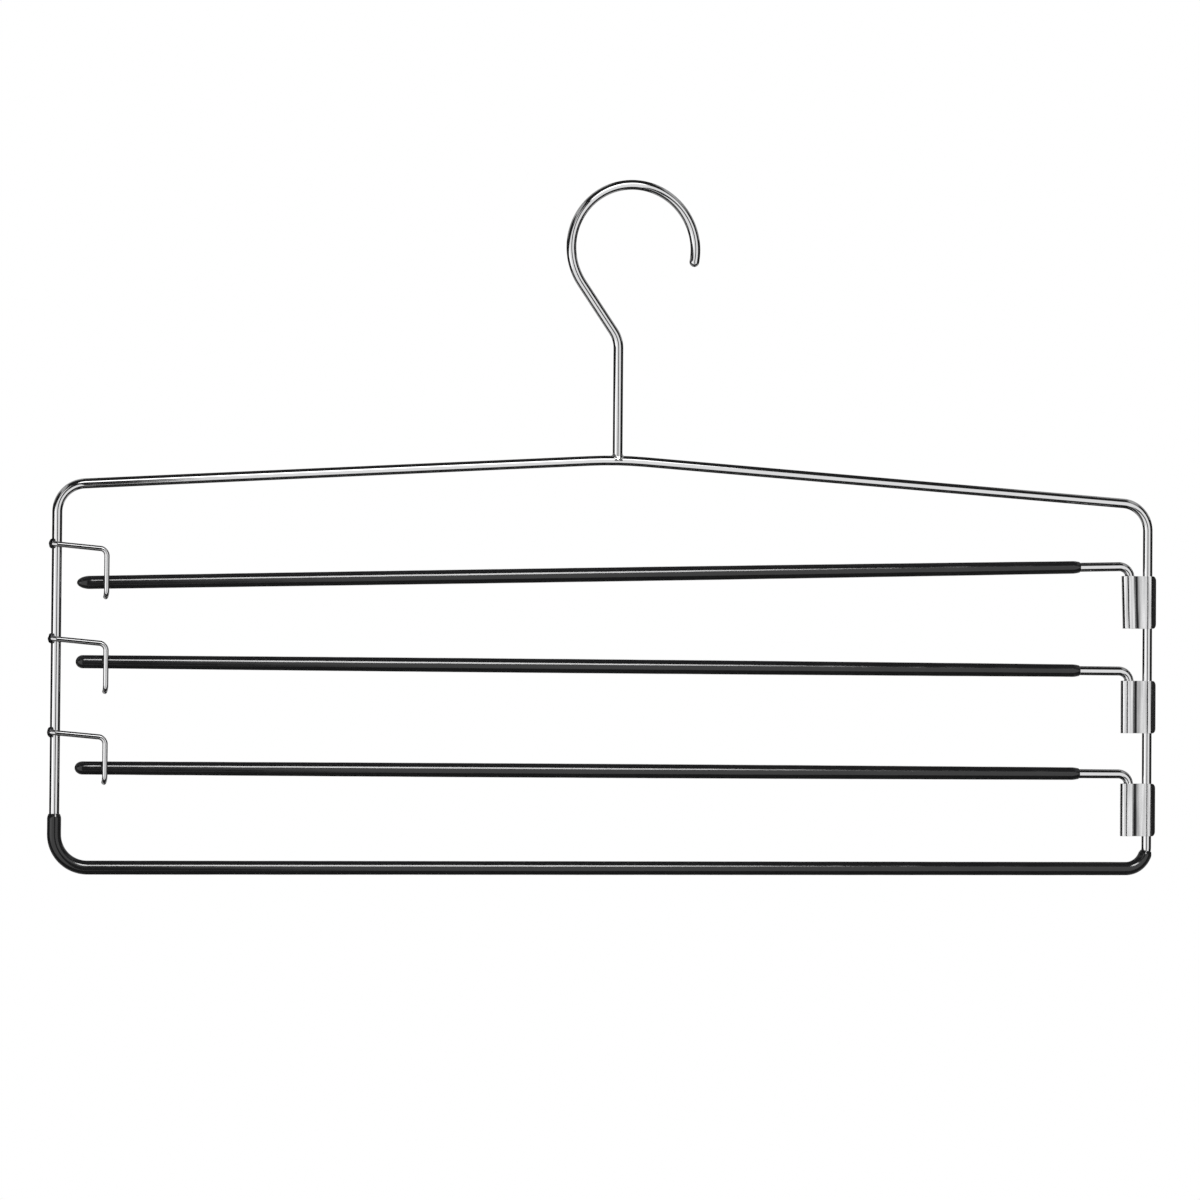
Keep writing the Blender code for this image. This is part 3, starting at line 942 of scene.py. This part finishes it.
@dataclass
class BarCoat(SubAssembly):
    """The dipped coat of the bottom bar, up the left post and into the right bend."""

    radius: float = 2.33 * MM
    left_run: float = 6.7 * MM
    right_sweep: float = math.radians(80)
    sweep_steps: int = 22
    taper: float = 1.2 * MM
    lip: float = 0.32 * MM
    ripple: Ripple = Ripple(0.05 * MM, (14 * MM, 5 * MM, 9 * MM), 3.1)
    sides: int = 32

    def path(self) -> Points:
        """Follows the bar.

        Returns:
            Points from the left post into the right bend.
        """
        s = self.sizes
        corners = [
            Vector((s.left_x, 0, s.bar_z + s.left_foot_radius + self.left_run)),
            Vector((s.left_x, 0, s.bar_z)),
            Vector((s.right_x, 0, s.bar_z)),
        ]
        points = Shop.bent(corners, (0, s.left_foot_radius, 0))[:-1]
        for step in range(self.sweep_steps + 1):
            angle = self.right_sweep * step / self.sweep_steps
            across = s.right_x - s.right_foot_radius * (1 - math.sin(angle))
            points.append(Vector((across, 0, s.bar_z + s.right_foot_radius * (1 - math.cos(angle)))))
        return Shop.filled(points, s.coat_spacing)

    def build(self) -> None:
        """Sweeps the coat round the bar and dresses it."""
        path = self.path()
        bore = self.sizes.wire_radius
        skin = CoatSkin(self.radius, bore, self.lip, self.taper)
        tracks = [skin.outside(path), Track.even(path, bore, bore=True)]
        piece = self.sweep.make("bottom_bar_coat", tracks, self.finishes.coat, self.sides, self.ripple)
        Shop.hand_over(piece, Body.FRAME, Slot.COAT, "bottom_bar_sleeve")


@dataclass(frozen=True)
class Tier:
    """One arm with its latch: its body, height, droop and tip, and the play and drop of its latch."""

    name: str
    body: Body
    height: float
    droop: float
    tip_dome: float
    foot_play: float
    latch_drop: float
    seed: float


TIERS = (
    Tier("upper", Body.UPPER, -125.171 * MM, math.radians(1.7), 4.3 * MM, 1.8 * MM, 17.1 * MM, 11.0),
    Tier("middle", Body.MIDDLE, -161.471 * MM, math.radians(0.1), 2.3 * MM, 6.7 * MM, 17.1 * MM, 23.0),
    Tier("lower", Body.LOWER, -197.121 * MM, 0.0, 2.6 * MM, 1.6 * MM, 16.2 * MM, 37.0),
)


@dataclass
class SwingArm(SubAssembly):
    """An arm on the right post: a wire with a leg, its dipped coat, and the folded clip that is its hinge."""

    tier: Tier
    leg_offset: float = 6.6 * MM
    bend: float = 3.8 * MM
    length: float = 366.85 * MM
    bare: float = 14.5 * MM
    end_round: float = 0.3
    tip_wall: float = 2.4 * MM
    coat_swell: float = 0.22 * MM
    swell_start: float = 12.0
    coat_taper: float = 2.1 * MM
    coat_lip: float = 0.32 * MM
    dome_steps: int = 12
    bore_round: tuple[float, int] = (0.2 * MM, 3)
    ripple_height: float = 0.045 * MM
    ripple_length: Triple = (13 * MM, 4 * MM, 4 * MM)
    sides: int = 32
    clip_height: float = 18.2 * MM
    clip_top: float = -3.35 * MM
    leg_inset: float = 0.5 * MM

    @property
    def place(self) -> Matrix:
        """Where the corner of the arm's bend is, with the arm's droop."""
        corner = Vector((self.sizes.right_x - self.leg_offset, 0, self.tier.height))
        return Matrix.Translation(corner) @ Matrix.Rotation(-self.tier.droop, 4, "Y")

    def build(self) -> None:
        """Makes the wire, the coat and the clip, and dresses them."""
        name, body = self.tier.name, self.tier.body
        wire = self.sweep.make(f"{name}_arm_rod", [self.wire_track()], self.finishes.wire, self.sides)
        Shop.hand_over(wire, body, Slot.WIRE, f"{name}_arm_wire")
        ripple = Ripple(self.ripple_height, self.ripple_length, self.tier.seed)
        coat = self.sweep.make(f"{name}_arm_coat", self.coat_tracks(), self.finishes.coat, self.sides, ripple)
        Shop.hand_over(coat, body, Slot.COAT, f"{name}_arm_sleeve")
        bench = (self.sizes, self.sweep, self.finishes)
        HingeClip(*bench, self.tier, self.leg_offset, self.clip_height, self.clip_top).build()

    def wire_track(self) -> Track:
        """Bends the wire.

        Returns:
            Its track from the end of its leg to its end inside the coat.
        """
        leg_end = Vector((0, 0, self.clip_top - self.clip_height + self.leg_inset))
        run_end = Vector((self.tip_wall - self.length, 0, 0))
        path = Shop.bent([leg_end, Vector((0, 0, 0)), run_end], (0, self.bend, 0))
        radius = self.sizes.arm_radius
        tip = radius * self.end_round
        return Track.even(path, radius).round_both(tip, tip).moved(self.place)

    def coat_tracks(self) -> list[Track]:
        """Dips the coat.

        Returns:
            The tracks of its outside, with its round tip, and of its blind bore round the wire.
        """
        start = self.bend + self.bare
        end = Vector((-self.length, 0, 0))
        body = self.length - start - self.tier.tip_dome
        full, bore = self.sizes.arm_coat_radius, self.sizes.arm_radius
        path = Shop.filled([Vector((-start, 0, 0)), end], self.sizes.coat_spacing)
        skin = CoatSkin(full, bore, self.coat_lip, self.coat_taper).outside(path)
        outside = Track([], [])
        for point, width in zip(skin.points, skin.widths):
            share = (-point.x - start) / body
            if share < 1:
                outside.points.append(point)
                swell = self.coat_swell * math.sin(math.pi * share)
                outside.widths.append(width + swell * min(1.0, self.swell_start * share))
        outside.points.append(end)
        outside.widths.append(full)
        outside.round_end(self.tier.tip_dome, self.dome_steps)
        bore_path = [path[0], Vector((self.tip_wall - self.length, 0, 0))]
        inside = Track.even(bore_path, bore, bore=True).round_end(*self.bore_round)
        return [outside.moved(self.place), inside.moved(self.place)]


@dataclass
class HingeClip(SubAssembly):
    """One strip of sheet, folded round the arm's leg, pinched beside it, bulged round the post and closed."""

    tier: Tier
    leg_offset: float
    height: float
    top: float
    sheet: float = 0.55 * MM
    clearance: float = 0.28 * MM
    slit: float = 0.25 * MM
    edge: float = 0.27 * MM
    corner: float = 1.7 * MM
    rolled_edge: float = 0.11 * MM
    rolled_steps: int = 2
    rolled_angle: float = math.radians(50)
    unevenness: float = 0.035 * MM
    wave_across: float = 2.2 * MM
    wave_along: float = 7 * MM
    front: float = 1.95 * MM
    crease_x: float = 2.0 * MM
    flank_x: float = 0.85 * MM
    facet_x: float = -1.6 * MM
    end_x: float = -2.65 * MM
    end_fold: Span = (-2.5 * MM, -1.15 * MM)
    folds: tuple[float, ...] = (0.3 * MM, 0.5 * MM, 2.4 * MM, 0.6 * MM)
    # How far the painted crease shade reaches along the web and towards the loop.
    web_shade_reach: float = 2.2 * MM
    loop_shade_reach: float = 0.88 * MM
    lean_reach: Span = (1.0 * MM, 4.3 * MM)
    post_steps: int = 16
    closing_shares: tuple[float, ...] = (0, 0.05, 0.15, 0.3, 0.45, 0.6, 0.75, 0.9)
    web_shares: tuple[float, ...] = (0.2, 0.4, 0.6, 0.8)
    rows: tuple[float, ...] = (
        0, 0.012, 0.03, 0.07, 0.12, 0.2, 0.3, 0.4, 0.5, 0.6, 0.7, 0.8, 0.88, 0.93, 0.97, 0.988, 1
    )

    @property
    def post_bulge(self) -> float:
        """Radius of the sheet's middle round the post."""
        return self.sizes.wire_radius + self.clearance + self.sheet / 2

    @property
    def edge_x(self) -> float:
        """The closed edge, from the post's axis."""
        return self.post_bulge + self.sheet / 2 + self.edge

    def front_leaf(self) -> Plan:
        """Plans the front leaf, from the closed edge round the post, into the crease and round the leg.

        Returns:
            The points of the sheet's middle, from the post's axis.
        """
        bulge = self.post_bulge
        leaf_y = -(self.sheet + self.slit) / 2
        edge = (self.edge_x, leaf_y)
        crease = (self.crease_x - self.leg_offset, leaf_y)
        edge_angle = math.atan2(edge[1], edge[0]) - math.acos(bulge / math.hypot(*edge))
        crease_angle = math.atan2(crease[1], crease[0]) + math.acos(bulge / math.hypot(*crease))
        post = Shop.arc(bulge, edge_angle, crease_angle, self.post_steps)
        closing = self.between(edge, post[0], self.closing_shares)
        web = self.between(post[-1], crease, self.web_shares)
        loop = ((self.flank_x, -self.front), (self.facet_x, -self.front), self.end_fold, (self.end_x, 0))
        corners = [web[-1], crease] + [(x - self.leg_offset, y) for x, y in loop]
        bends = Shop.bent([Vector((x, y, 0)) for x, y in corners], (0, *self.folds, 0))
        return closing + post + web + [(point.x, point.y) for point in bends[1:]]

    @staticmethod
    def between(start: Span, end: Span, shares: Sequence[float]) -> Plan:
        """Points at shares of a straight line."""
        return [(start[0] + (end[0] - start[0]) * t, start[1] + (end[1] - start[1]) * t) for t in shares]

    def strip(self) -> Plan:
        """Plan of the whole strip: the front leaf and its mirror image behind."""
        front = self.front_leaf()
        return front + [(x, -y) for x, y in reversed(front[:-1])]

    def inset(self, x: float) -> float:
        """How far the rounded corner draws the sheet in at a place."""
        inside = self.corner - (self.edge_x - x)
        return self.corner - math.sqrt(self.corner**2 - inside**2) if inside > 0 else 0.0

    def painted_crease_shade(self, x: float) -> float:
        """How much painted shade the sheet has at a place: fully in the crease, less along the web and
        towards the loop.
        """
        away = x - (self.crease_x - self.leg_offset)
        return max(0.0, 1 - abs(away) / (self.web_shade_reach if away > 0 else self.loop_shade_reach))

    def folded(self) -> BMesh:
        """Folds the strip.

        Returns:
            The sheet's middle, which carries its painted crease shade.
        """
        bottom = self.top - self.height
        near, far = self.lean_reach
        across = self.wave_across
        shape = bmesh.new()
        painted_crease_shade = shape.verts.layers.float.new(PlatedSheet.PAINTED_CREASE_SHADE)
        columns = []
        for x, y in self.strip():
            inset = self.inset(x)
            lean = math.tan(self.tier.droop) * min(1.0, max(0.0, (-x - near) / (far - near)))
            column = []
            for row in self.rows:
                z = bottom + inset + (self.height - 2 * inset) * row
                wave = noise.noise(Vector((x / across, y / across, z / self.wave_along + self.tier.seed)))
                reach = 1 + wave * self.unevenness / self.post_bulge
                place = (self.sizes.right_x + x - z * lean, y * reach, self.tier.height + z)
                column.append(shape.verts.new(place))
                # Painted shade, strongest in the crease.
                column[-1][painted_crease_shade] = self.painted_crease_shade(x)
            columns.append(column)
        Shop.skinned(shape, columns)
        return shape

    def build(self) -> None:
        """Gives the folded sheet its thickness and its rolled edges, and dresses it."""
        piece = Shop.from_shape(f"{self.tier.name}_clip_strip", self.folded(), self.finishes.sheet)
        sheet = piece.modifiers.new("sheet", "SOLIDIFY")
        sheet.thickness = self.sheet
        sheet.offset = 0
        sheet.use_even_offset = True
        edges = piece.modifiers.new("edges", "BEVEL")
        edges.width = self.rolled_edge
        edges.segments = self.rolled_steps
        edges.limit_method = "ANGLE"
        edges.angle_limit = self.rolled_angle
        Shop.hand_over(Shop.settled(piece), self.tier.body, Slot.SHEET, f"{self.tier.name}_hinge_clip")


@dataclass
class Latch(SubAssembly):
    """A thin wire on the left post's front: a welded end, a run, a leg before the arm, a foot under it."""

    tier: Tier
    leg_offset: float
    radius: float = 0.895 * MM
    reach: float = 16.1 * MM
    tilt: float = math.radians(5)
    bend: float = 2.4 * MM
    foot_bend: float = 2.4 * MM
    foot: float = 2.6 * MM
    clearance: float = 0.3 * MM
    wrap: float = math.radians(48)
    wrap_steps: int = 10
    end_rounds: Span = (0.5, 0.8)
    sides: int = 28
    set_down: float = 0.06 * MM
    bead_height: float = 3.3 * MM
    bead_width: float = 2.05 * MM
    bead_fineness: int = 4
    lump_height: float = 0.16
    lump_scale: float = 3.2

    def wrap_points(self, weld_z: float) -> Points:
        """Bends the welded end round the post.

        Args:
            weld_z: Height of the wire at the post's front.

        Returns:
            Points from the front left of the post to its front.
        """
        reach = self.sizes.wire_radius + self.radius - self.set_down
        points = []
        for step in range(self.wrap_steps + 1):
            angle = self.wrap * (1 - step / self.wrap_steps)
            across = self.sizes.left_x - reach * math.sin(angle)
            rise = reach * angle * math.tan(self.tilt)
            points.append(Vector((across, -reach * math.cos(angle), weld_z + rise)))
        return points

    def build(self) -> None:
        """Bends the wire round the arm's place, lays the bead and dresses both."""
        s = self.sizes
        name = self.tier.name
        leg_x = s.left_x + self.reach
        leg_y = -(s.arm_coat_radius + self.clearance + self.radius)
        arm_z = self.tier.height - (s.right_x - self.leg_offset - leg_x) * math.tan(self.tier.droop)
        foot_z = arm_z - s.arm_coat_radius - self.tier.foot_play - self.radius
        weld_z = foot_z + self.tier.latch_drop
        wrap = self.wrap_points(weld_z)
        corners = [
            wrap[-1],
            Vector((leg_x, leg_y, weld_z - self.reach * math.tan(self.tilt))),
            Vector((leg_x, leg_y, foot_z)),
            Vector((leg_x, leg_y + self.foot, foot_z)),
        ]
        path = wrap[:-1] + Shop.bent(corners, (0, self.bend, self.foot_bend, 0))
        tips = [self.radius * share for share in self.end_rounds]
        track = Track.even(path, self.radius).round_both(*tips)
        wire = self.sweep.make(f"{name}_latch_wire", [track], self.finishes.wire, self.sides)
        Shop.hand_over(wire, Body.FRAME, Slot.WIRE, f"{name}_latch")
        bead = Shop.from_shape(f"{name}_latch_weld", self.bead_shape(wrap[0]), self.finishes.weld)
        Shop.hand_over(bead, Body.FRAME, Slot.WIRE)

    def bead_shape(self, place: Vector) -> BMesh:
        """Lays the lumpy bead at the wire's end.

        Args:
            place: Its middle.

        Returns:
            A closed lump that reaches into the wire and the post.
        """
        shape = bmesh.new()
        bmesh.ops.create_icosphere(shape, subdivisions=self.bead_fineness, radius=0.5)
        spread = Vector((self.bead_width, self.bead_width, self.bead_height))
        for vert in shape.verts:
            wave = noise.noise(vert.co * self.lump_scale + Vector((self.tier.seed, 0, 0)))
            vert.co = vert.co * (1 + self.lump_height * wave) * spread + place
        return shape


class Panel(Enum):
    """The panels of the tent, with the grey of each."""

    DARK = 0.018
    CORNER = 0.36
    SKYLIGHT = 0.4

    def material(self) -> Material:
        """Paints the panel.

        Returns:
            A matt grey without gloss.
        """
        graph = SurfaceGraph(f"tent_{self.name.lower()}")
        tone = self.value
        graph.feed(Base_Color=(tone, tone, tone, 1), Roughness=1.0, Specular_IOR_Level=0.0)
        return graph.material


@dataclass(frozen=True)
class Lamp:
    """An oval area lamp that faces the hanger. Its radiance is its brightness as a mirror shows it."""

    name: str
    place: Triple
    size: Span
    radiance: float

    def build(self, target: Vector, spared: Optional[Material] = None) -> None:
        """Hangs the lamp.

        Args:
            target: What it faces.
            spared: The finish of the pieces that its light is kept off, if there is one.
        """
        place = Vector(self.place)
        data = bpy.data.lights.new(self.name, "AREA")
        data.shape = "ELLIPSE"
        data.size, data.size_y = self.size
        data.energy = self.radiance * math.pi * (math.pi / 4 * self.size[0] * self.size[1])
        lamp = Shop.placed(self.name, data)
        lamp.visible_camera = False
        lamp.location = place
        lamp.rotation_euler = (target - place).to_track_quat("-Z", "Y").to_euler()
        if spared:
            lamp.light_linking.receiver_collection = self.without(spared)

    def without(self, finish: Material) -> Collection:
        """Gathers the pieces that the lamp leaves out.

        Args:
            finish: What they are made of.

        Returns:
            A collection that excludes them.
        """
        spared = bpy.data.collections.new(f"{self.name}_spares")
        for piece in bpy.context.scene.objects:
            if piece.type == "MESH" and finish.name in piece.data.materials:
                spared.objects.link(piece)
        for entry in spared.collection_objects:
            entry.light_linking.link_state = "EXCLUDE"
        return spared


@dataclass
class Studio:
    """A white room with a pale floor, lamps, and a dark tent and card that only reflections show.

    The tent gives the chrome its dark outlines. Its near rim is given in degrees away from the viewpoint,
    to the left, to the right, up and down, and is oval, but straight at the upper left. Its far rim is
    round. The strip lamp draws the highlights on the coats. It would glare on the wire, so the wire has a
    weaker lamp of its own.
    """

    viewpoint: Vector
    centre: Triple = (0, 0, -130 * MM)
    room_light: float = 0.8
    opening: tuple[float, float, float, float] = (70, 62, 38, 52)
    far_rim: float = 152
    tent_radius: float = 1.85
    tent_columns: int = 90
    tent_rows: int = 24
    skylight_span: Span = (0.54, 0.74)
    skylight_foot: float = 0.5
    corner_depth: float = -0.2
    level_half: float = 0.25
    upright_span: Span = (-0.05, 0.45)
    card_outline: tuple[Span, ...] = (
        (-0.5, -2.0), (0.37, -2.0), (0.25, -1.18), (0.147, -0.44), (0.115, -0.1), (0.06, 1.3), (-0.5, 1.3)
    )
    card_y: float = -1.72
    floor_z: float = -2.1
    floor_radius: float = 9.0
    floor_segments: int = 96
    floor_fade: Span = (1.2, 4.0)
    floor_grey: float = 0.95
    strip_lamp: Lamp = Lamp("strip_lamp", (0.273, -1.425, 0.86), (0.567, 0.66), 17.0)
    wire_lamp: Lamp = Lamp("wire_lamp", (0.16, -1.425, 0.86), (0.79, 0.66), 2.5)
    left_lamp: Lamp = Lamp("left_lamp", (-1.75, -0.75, 0.0), (1.1, 1.3), 0.5)

    def build(self, finishes: Finishes) -> None:
        """Sets up the world, the floor, the tent, the card and the lamps.

        Args:
            finishes: The hanger's finishes, which the lamps light or spare.
        """
        self.world()
        self.floor()
        greys = [panel.material() for panel in Panel]
        self.mirrored_only(Shop.from_shape("tent_sides", self.tent_shape(), *greys))
        self.mirrored_only(Shop.from_shape("front_card", self.card_shape(), greys[0]))
        target = Vector(self.centre)
        self.strip_lamp.build(target, finishes.wire)
        self.wire_lamp.build(target, finishes.coat)
        self.left_lamp.build(target)

    def world(self) -> None:
        """A white room: full for what is seen or mirrored, softer as light."""
        world = bpy.data.worlds.new("white_room")
        bpy.context.scene.world = world
        world.use_nodes = True
        graph = Graph(world.node_tree)
        ray = graph.node("ShaderNodeLightPath", output="Is Camera Ray")
        shown = ray.at_least(ray.other("Is Glossy Ray")).at_least(ray.other("Is Transmission Ray"))
        background = world.node_tree.nodes["Background"]
        graph.plug(background, "Color", (1, 1, 1, 1))
        graph.plug(background, "Strength", self.room_light + shown * (1 - self.room_light))

    def floor(self) -> None:
        """A pale round floor under the hanger."""
        shape = bmesh.new()
        bmesh.ops.create_circle(shape, cap_ends=True, segments=self.floor_segments, radius=self.floor_radius)
        bmesh.ops.translate(shape, verts=shape.verts, vec=(0, 0, self.floor_z))
        graph = SurfaceGraph("pale_floor")
        reach = graph.node("ShaderNodeVectorMath", {"operation": "LENGTH"}, [graph.object_place()], "Value")
        white = graph.node("ShaderNodeEmission", inputs={"Color": (1, 1, 1, 1)})
        pale = Value(graph, graph.shader.outputs["BSDF"])
        graph.feed(Base_Color=(self.floor_grey, self.floor_grey, self.floor_grey, 1), Roughness=0.9)
        mixed = graph.node("ShaderNodeMixShader", inputs=[reach.step(*self.floor_fade), pale, white])
        graph.plug(graph.tree.nodes["Material Output"], "Surface", mixed)
        Shop.from_shape("studio_floor", shape, graph.material)

    def near_rim(self, turn: float) -> float:
        """Finds the tent's near rim.

        Args:
            turn: Direction of a place on the rim, from the right upwards.

        Returns:
            Its angle away from the viewpoint, in degrees.
        """
        left, right, up, down = self.opening
        across, above = math.cos(turn), math.sin(turn)
        wide = abs(across) / (right if across > 0 else left)
        high = abs(above) / (up if above > 0 else down)
        return 1 / (wide + high if across < 0 < above else math.hypot(wide, high))

    def panel(self, away: Vector, axis: Vector) -> Panel:
        """Chooses the panel of the tent in a direction.

        Args:
            away: The direction from the hanger.
            axis: The direction of the viewpoint.

        Returns:
            A skylight high up at either side, a corner behind, off the frame's level and upright, or dark.
        """
        low, high = self.skylight_span
        if low < abs(away.x) < high and away.z > self.skylight_foot:
            return Panel.SKYLIGHT
        low, high = self.upright_span
        behind = away.dot(axis) < self.corner_depth
        cornered = abs(away.z) > self.level_half and not low < away.x < high
        return Panel.CORNER if behind and cornered else Panel.DARK

    def tent_shape(self) -> BMesh:
        """Spans the tent round the hanger.

        Returns:
            Its faces, each with the material of its panel.
        """
        centre = Vector(self.centre)
        axis = (self.viewpoint - centre).normalized()
        right = Vector((0, 0, 1)).cross(axis).normalized()
        above = axis.cross(right)
        shape = bmesh.new()
        columns = []
        for i in range(self.tent_columns):
            turn = 2 * math.pi * i / self.tent_columns
            side = right * math.cos(turn) + above * math.sin(turn)
            near = self.near_rim(turn)
            column = []
            for j in range(self.tent_rows + 1):
                angle = math.radians(near + (self.far_rim - near) * j / self.tent_rows)
                away = axis * math.cos(angle) + side * math.sin(angle)
                column.append(shape.verts.new(centre + away * self.tent_radius))
            columns.append(column)
        panels = list(Panel)
        for face in Shop.skinned(shape, columns + columns[:1]):
            away = (face.calc_center_median() - centre).normalized()
            face.material_index = panels.index(self.panel(away, axis))
        return shape

    def card_shape(self) -> BMesh:
        """Cuts the dark card that stands in front.

        Returns:
            Its one face.
        """
        shape = bmesh.new()
        shape.faces.new([shape.verts.new((x, self.card_y, z)) for x, z in self.card_outline])
        return shape

    def mirrored_only(self, card: Object) -> None:
        """Marks a card as part of the stage that nothing but reflections show.

        Args:
            card: The card.
        """
        for rays in ("camera", "diffuse", "shadow", "transmission"):
            setattr(card, f"visible_{rays}", False)


@dataclass(frozen=True)
class ViewCamera:
    """The camera: a long lens, in front of the hanger and a little to its left."""

    place: Triple = (-0.411567, -1.641763, -0.18285)
    yaw: float = math.radians(13.7184)
    pitch: float = math.radians(1.4736)
    roll: float = math.radians(0.445)
    lens: float = 150.0
    sensor: float = 36.0

    def build(self) -> None:
        """Places the camera and makes it the scene's own."""
        data = bpy.data.cameras.new("view_camera")
        data.lens = self.lens
        data.sensor_width = self.sensor
        camera = Shop.placed("view_camera", data)
        level = math.cos(self.pitch)
        ahead = Vector((math.sin(self.yaw) * level, math.cos(self.yaw) * level, math.sin(self.pitch)))
        right = Vector((math.cos(self.yaw), -math.sin(self.yaw), 0))
        above = right.cross(ahead)
        across = right * math.cos(self.roll) + above * math.sin(self.roll)
        upward = above * math.cos(self.roll) - right * math.sin(self.roll)
        turn = Matrix((across, upward, -ahead)).transposed().to_4x4()
        camera.matrix_world = Matrix.Translation(self.place) @ turn
        bpy.context.scene.camera = camera
        bpy.context.scene.view_settings.view_transform = "Standard"


def main() -> None:
    """Builds the hanger's sub-assemblies in order, then the studio and the camera."""
    logging.basicConfig(level=logging.INFO, format="%(message)s")
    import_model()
    finishes = Finishes()
    bench = (Sizes(), Sweep(), finishes)
    FrameLoop(*bench).build()
    Hook(*bench).build()
    BarCoat(*bench).build()
    for tier in TIERS:
        arm = SwingArm(*bench, tier)
        arm.build()
        Latch(*bench, tier, arm.leg_offset).build()
    camera = ViewCamera()
    Studio(Vector(camera.place)).build(finishes)
    camera.build()


if __name__ == "__main__":
    main()
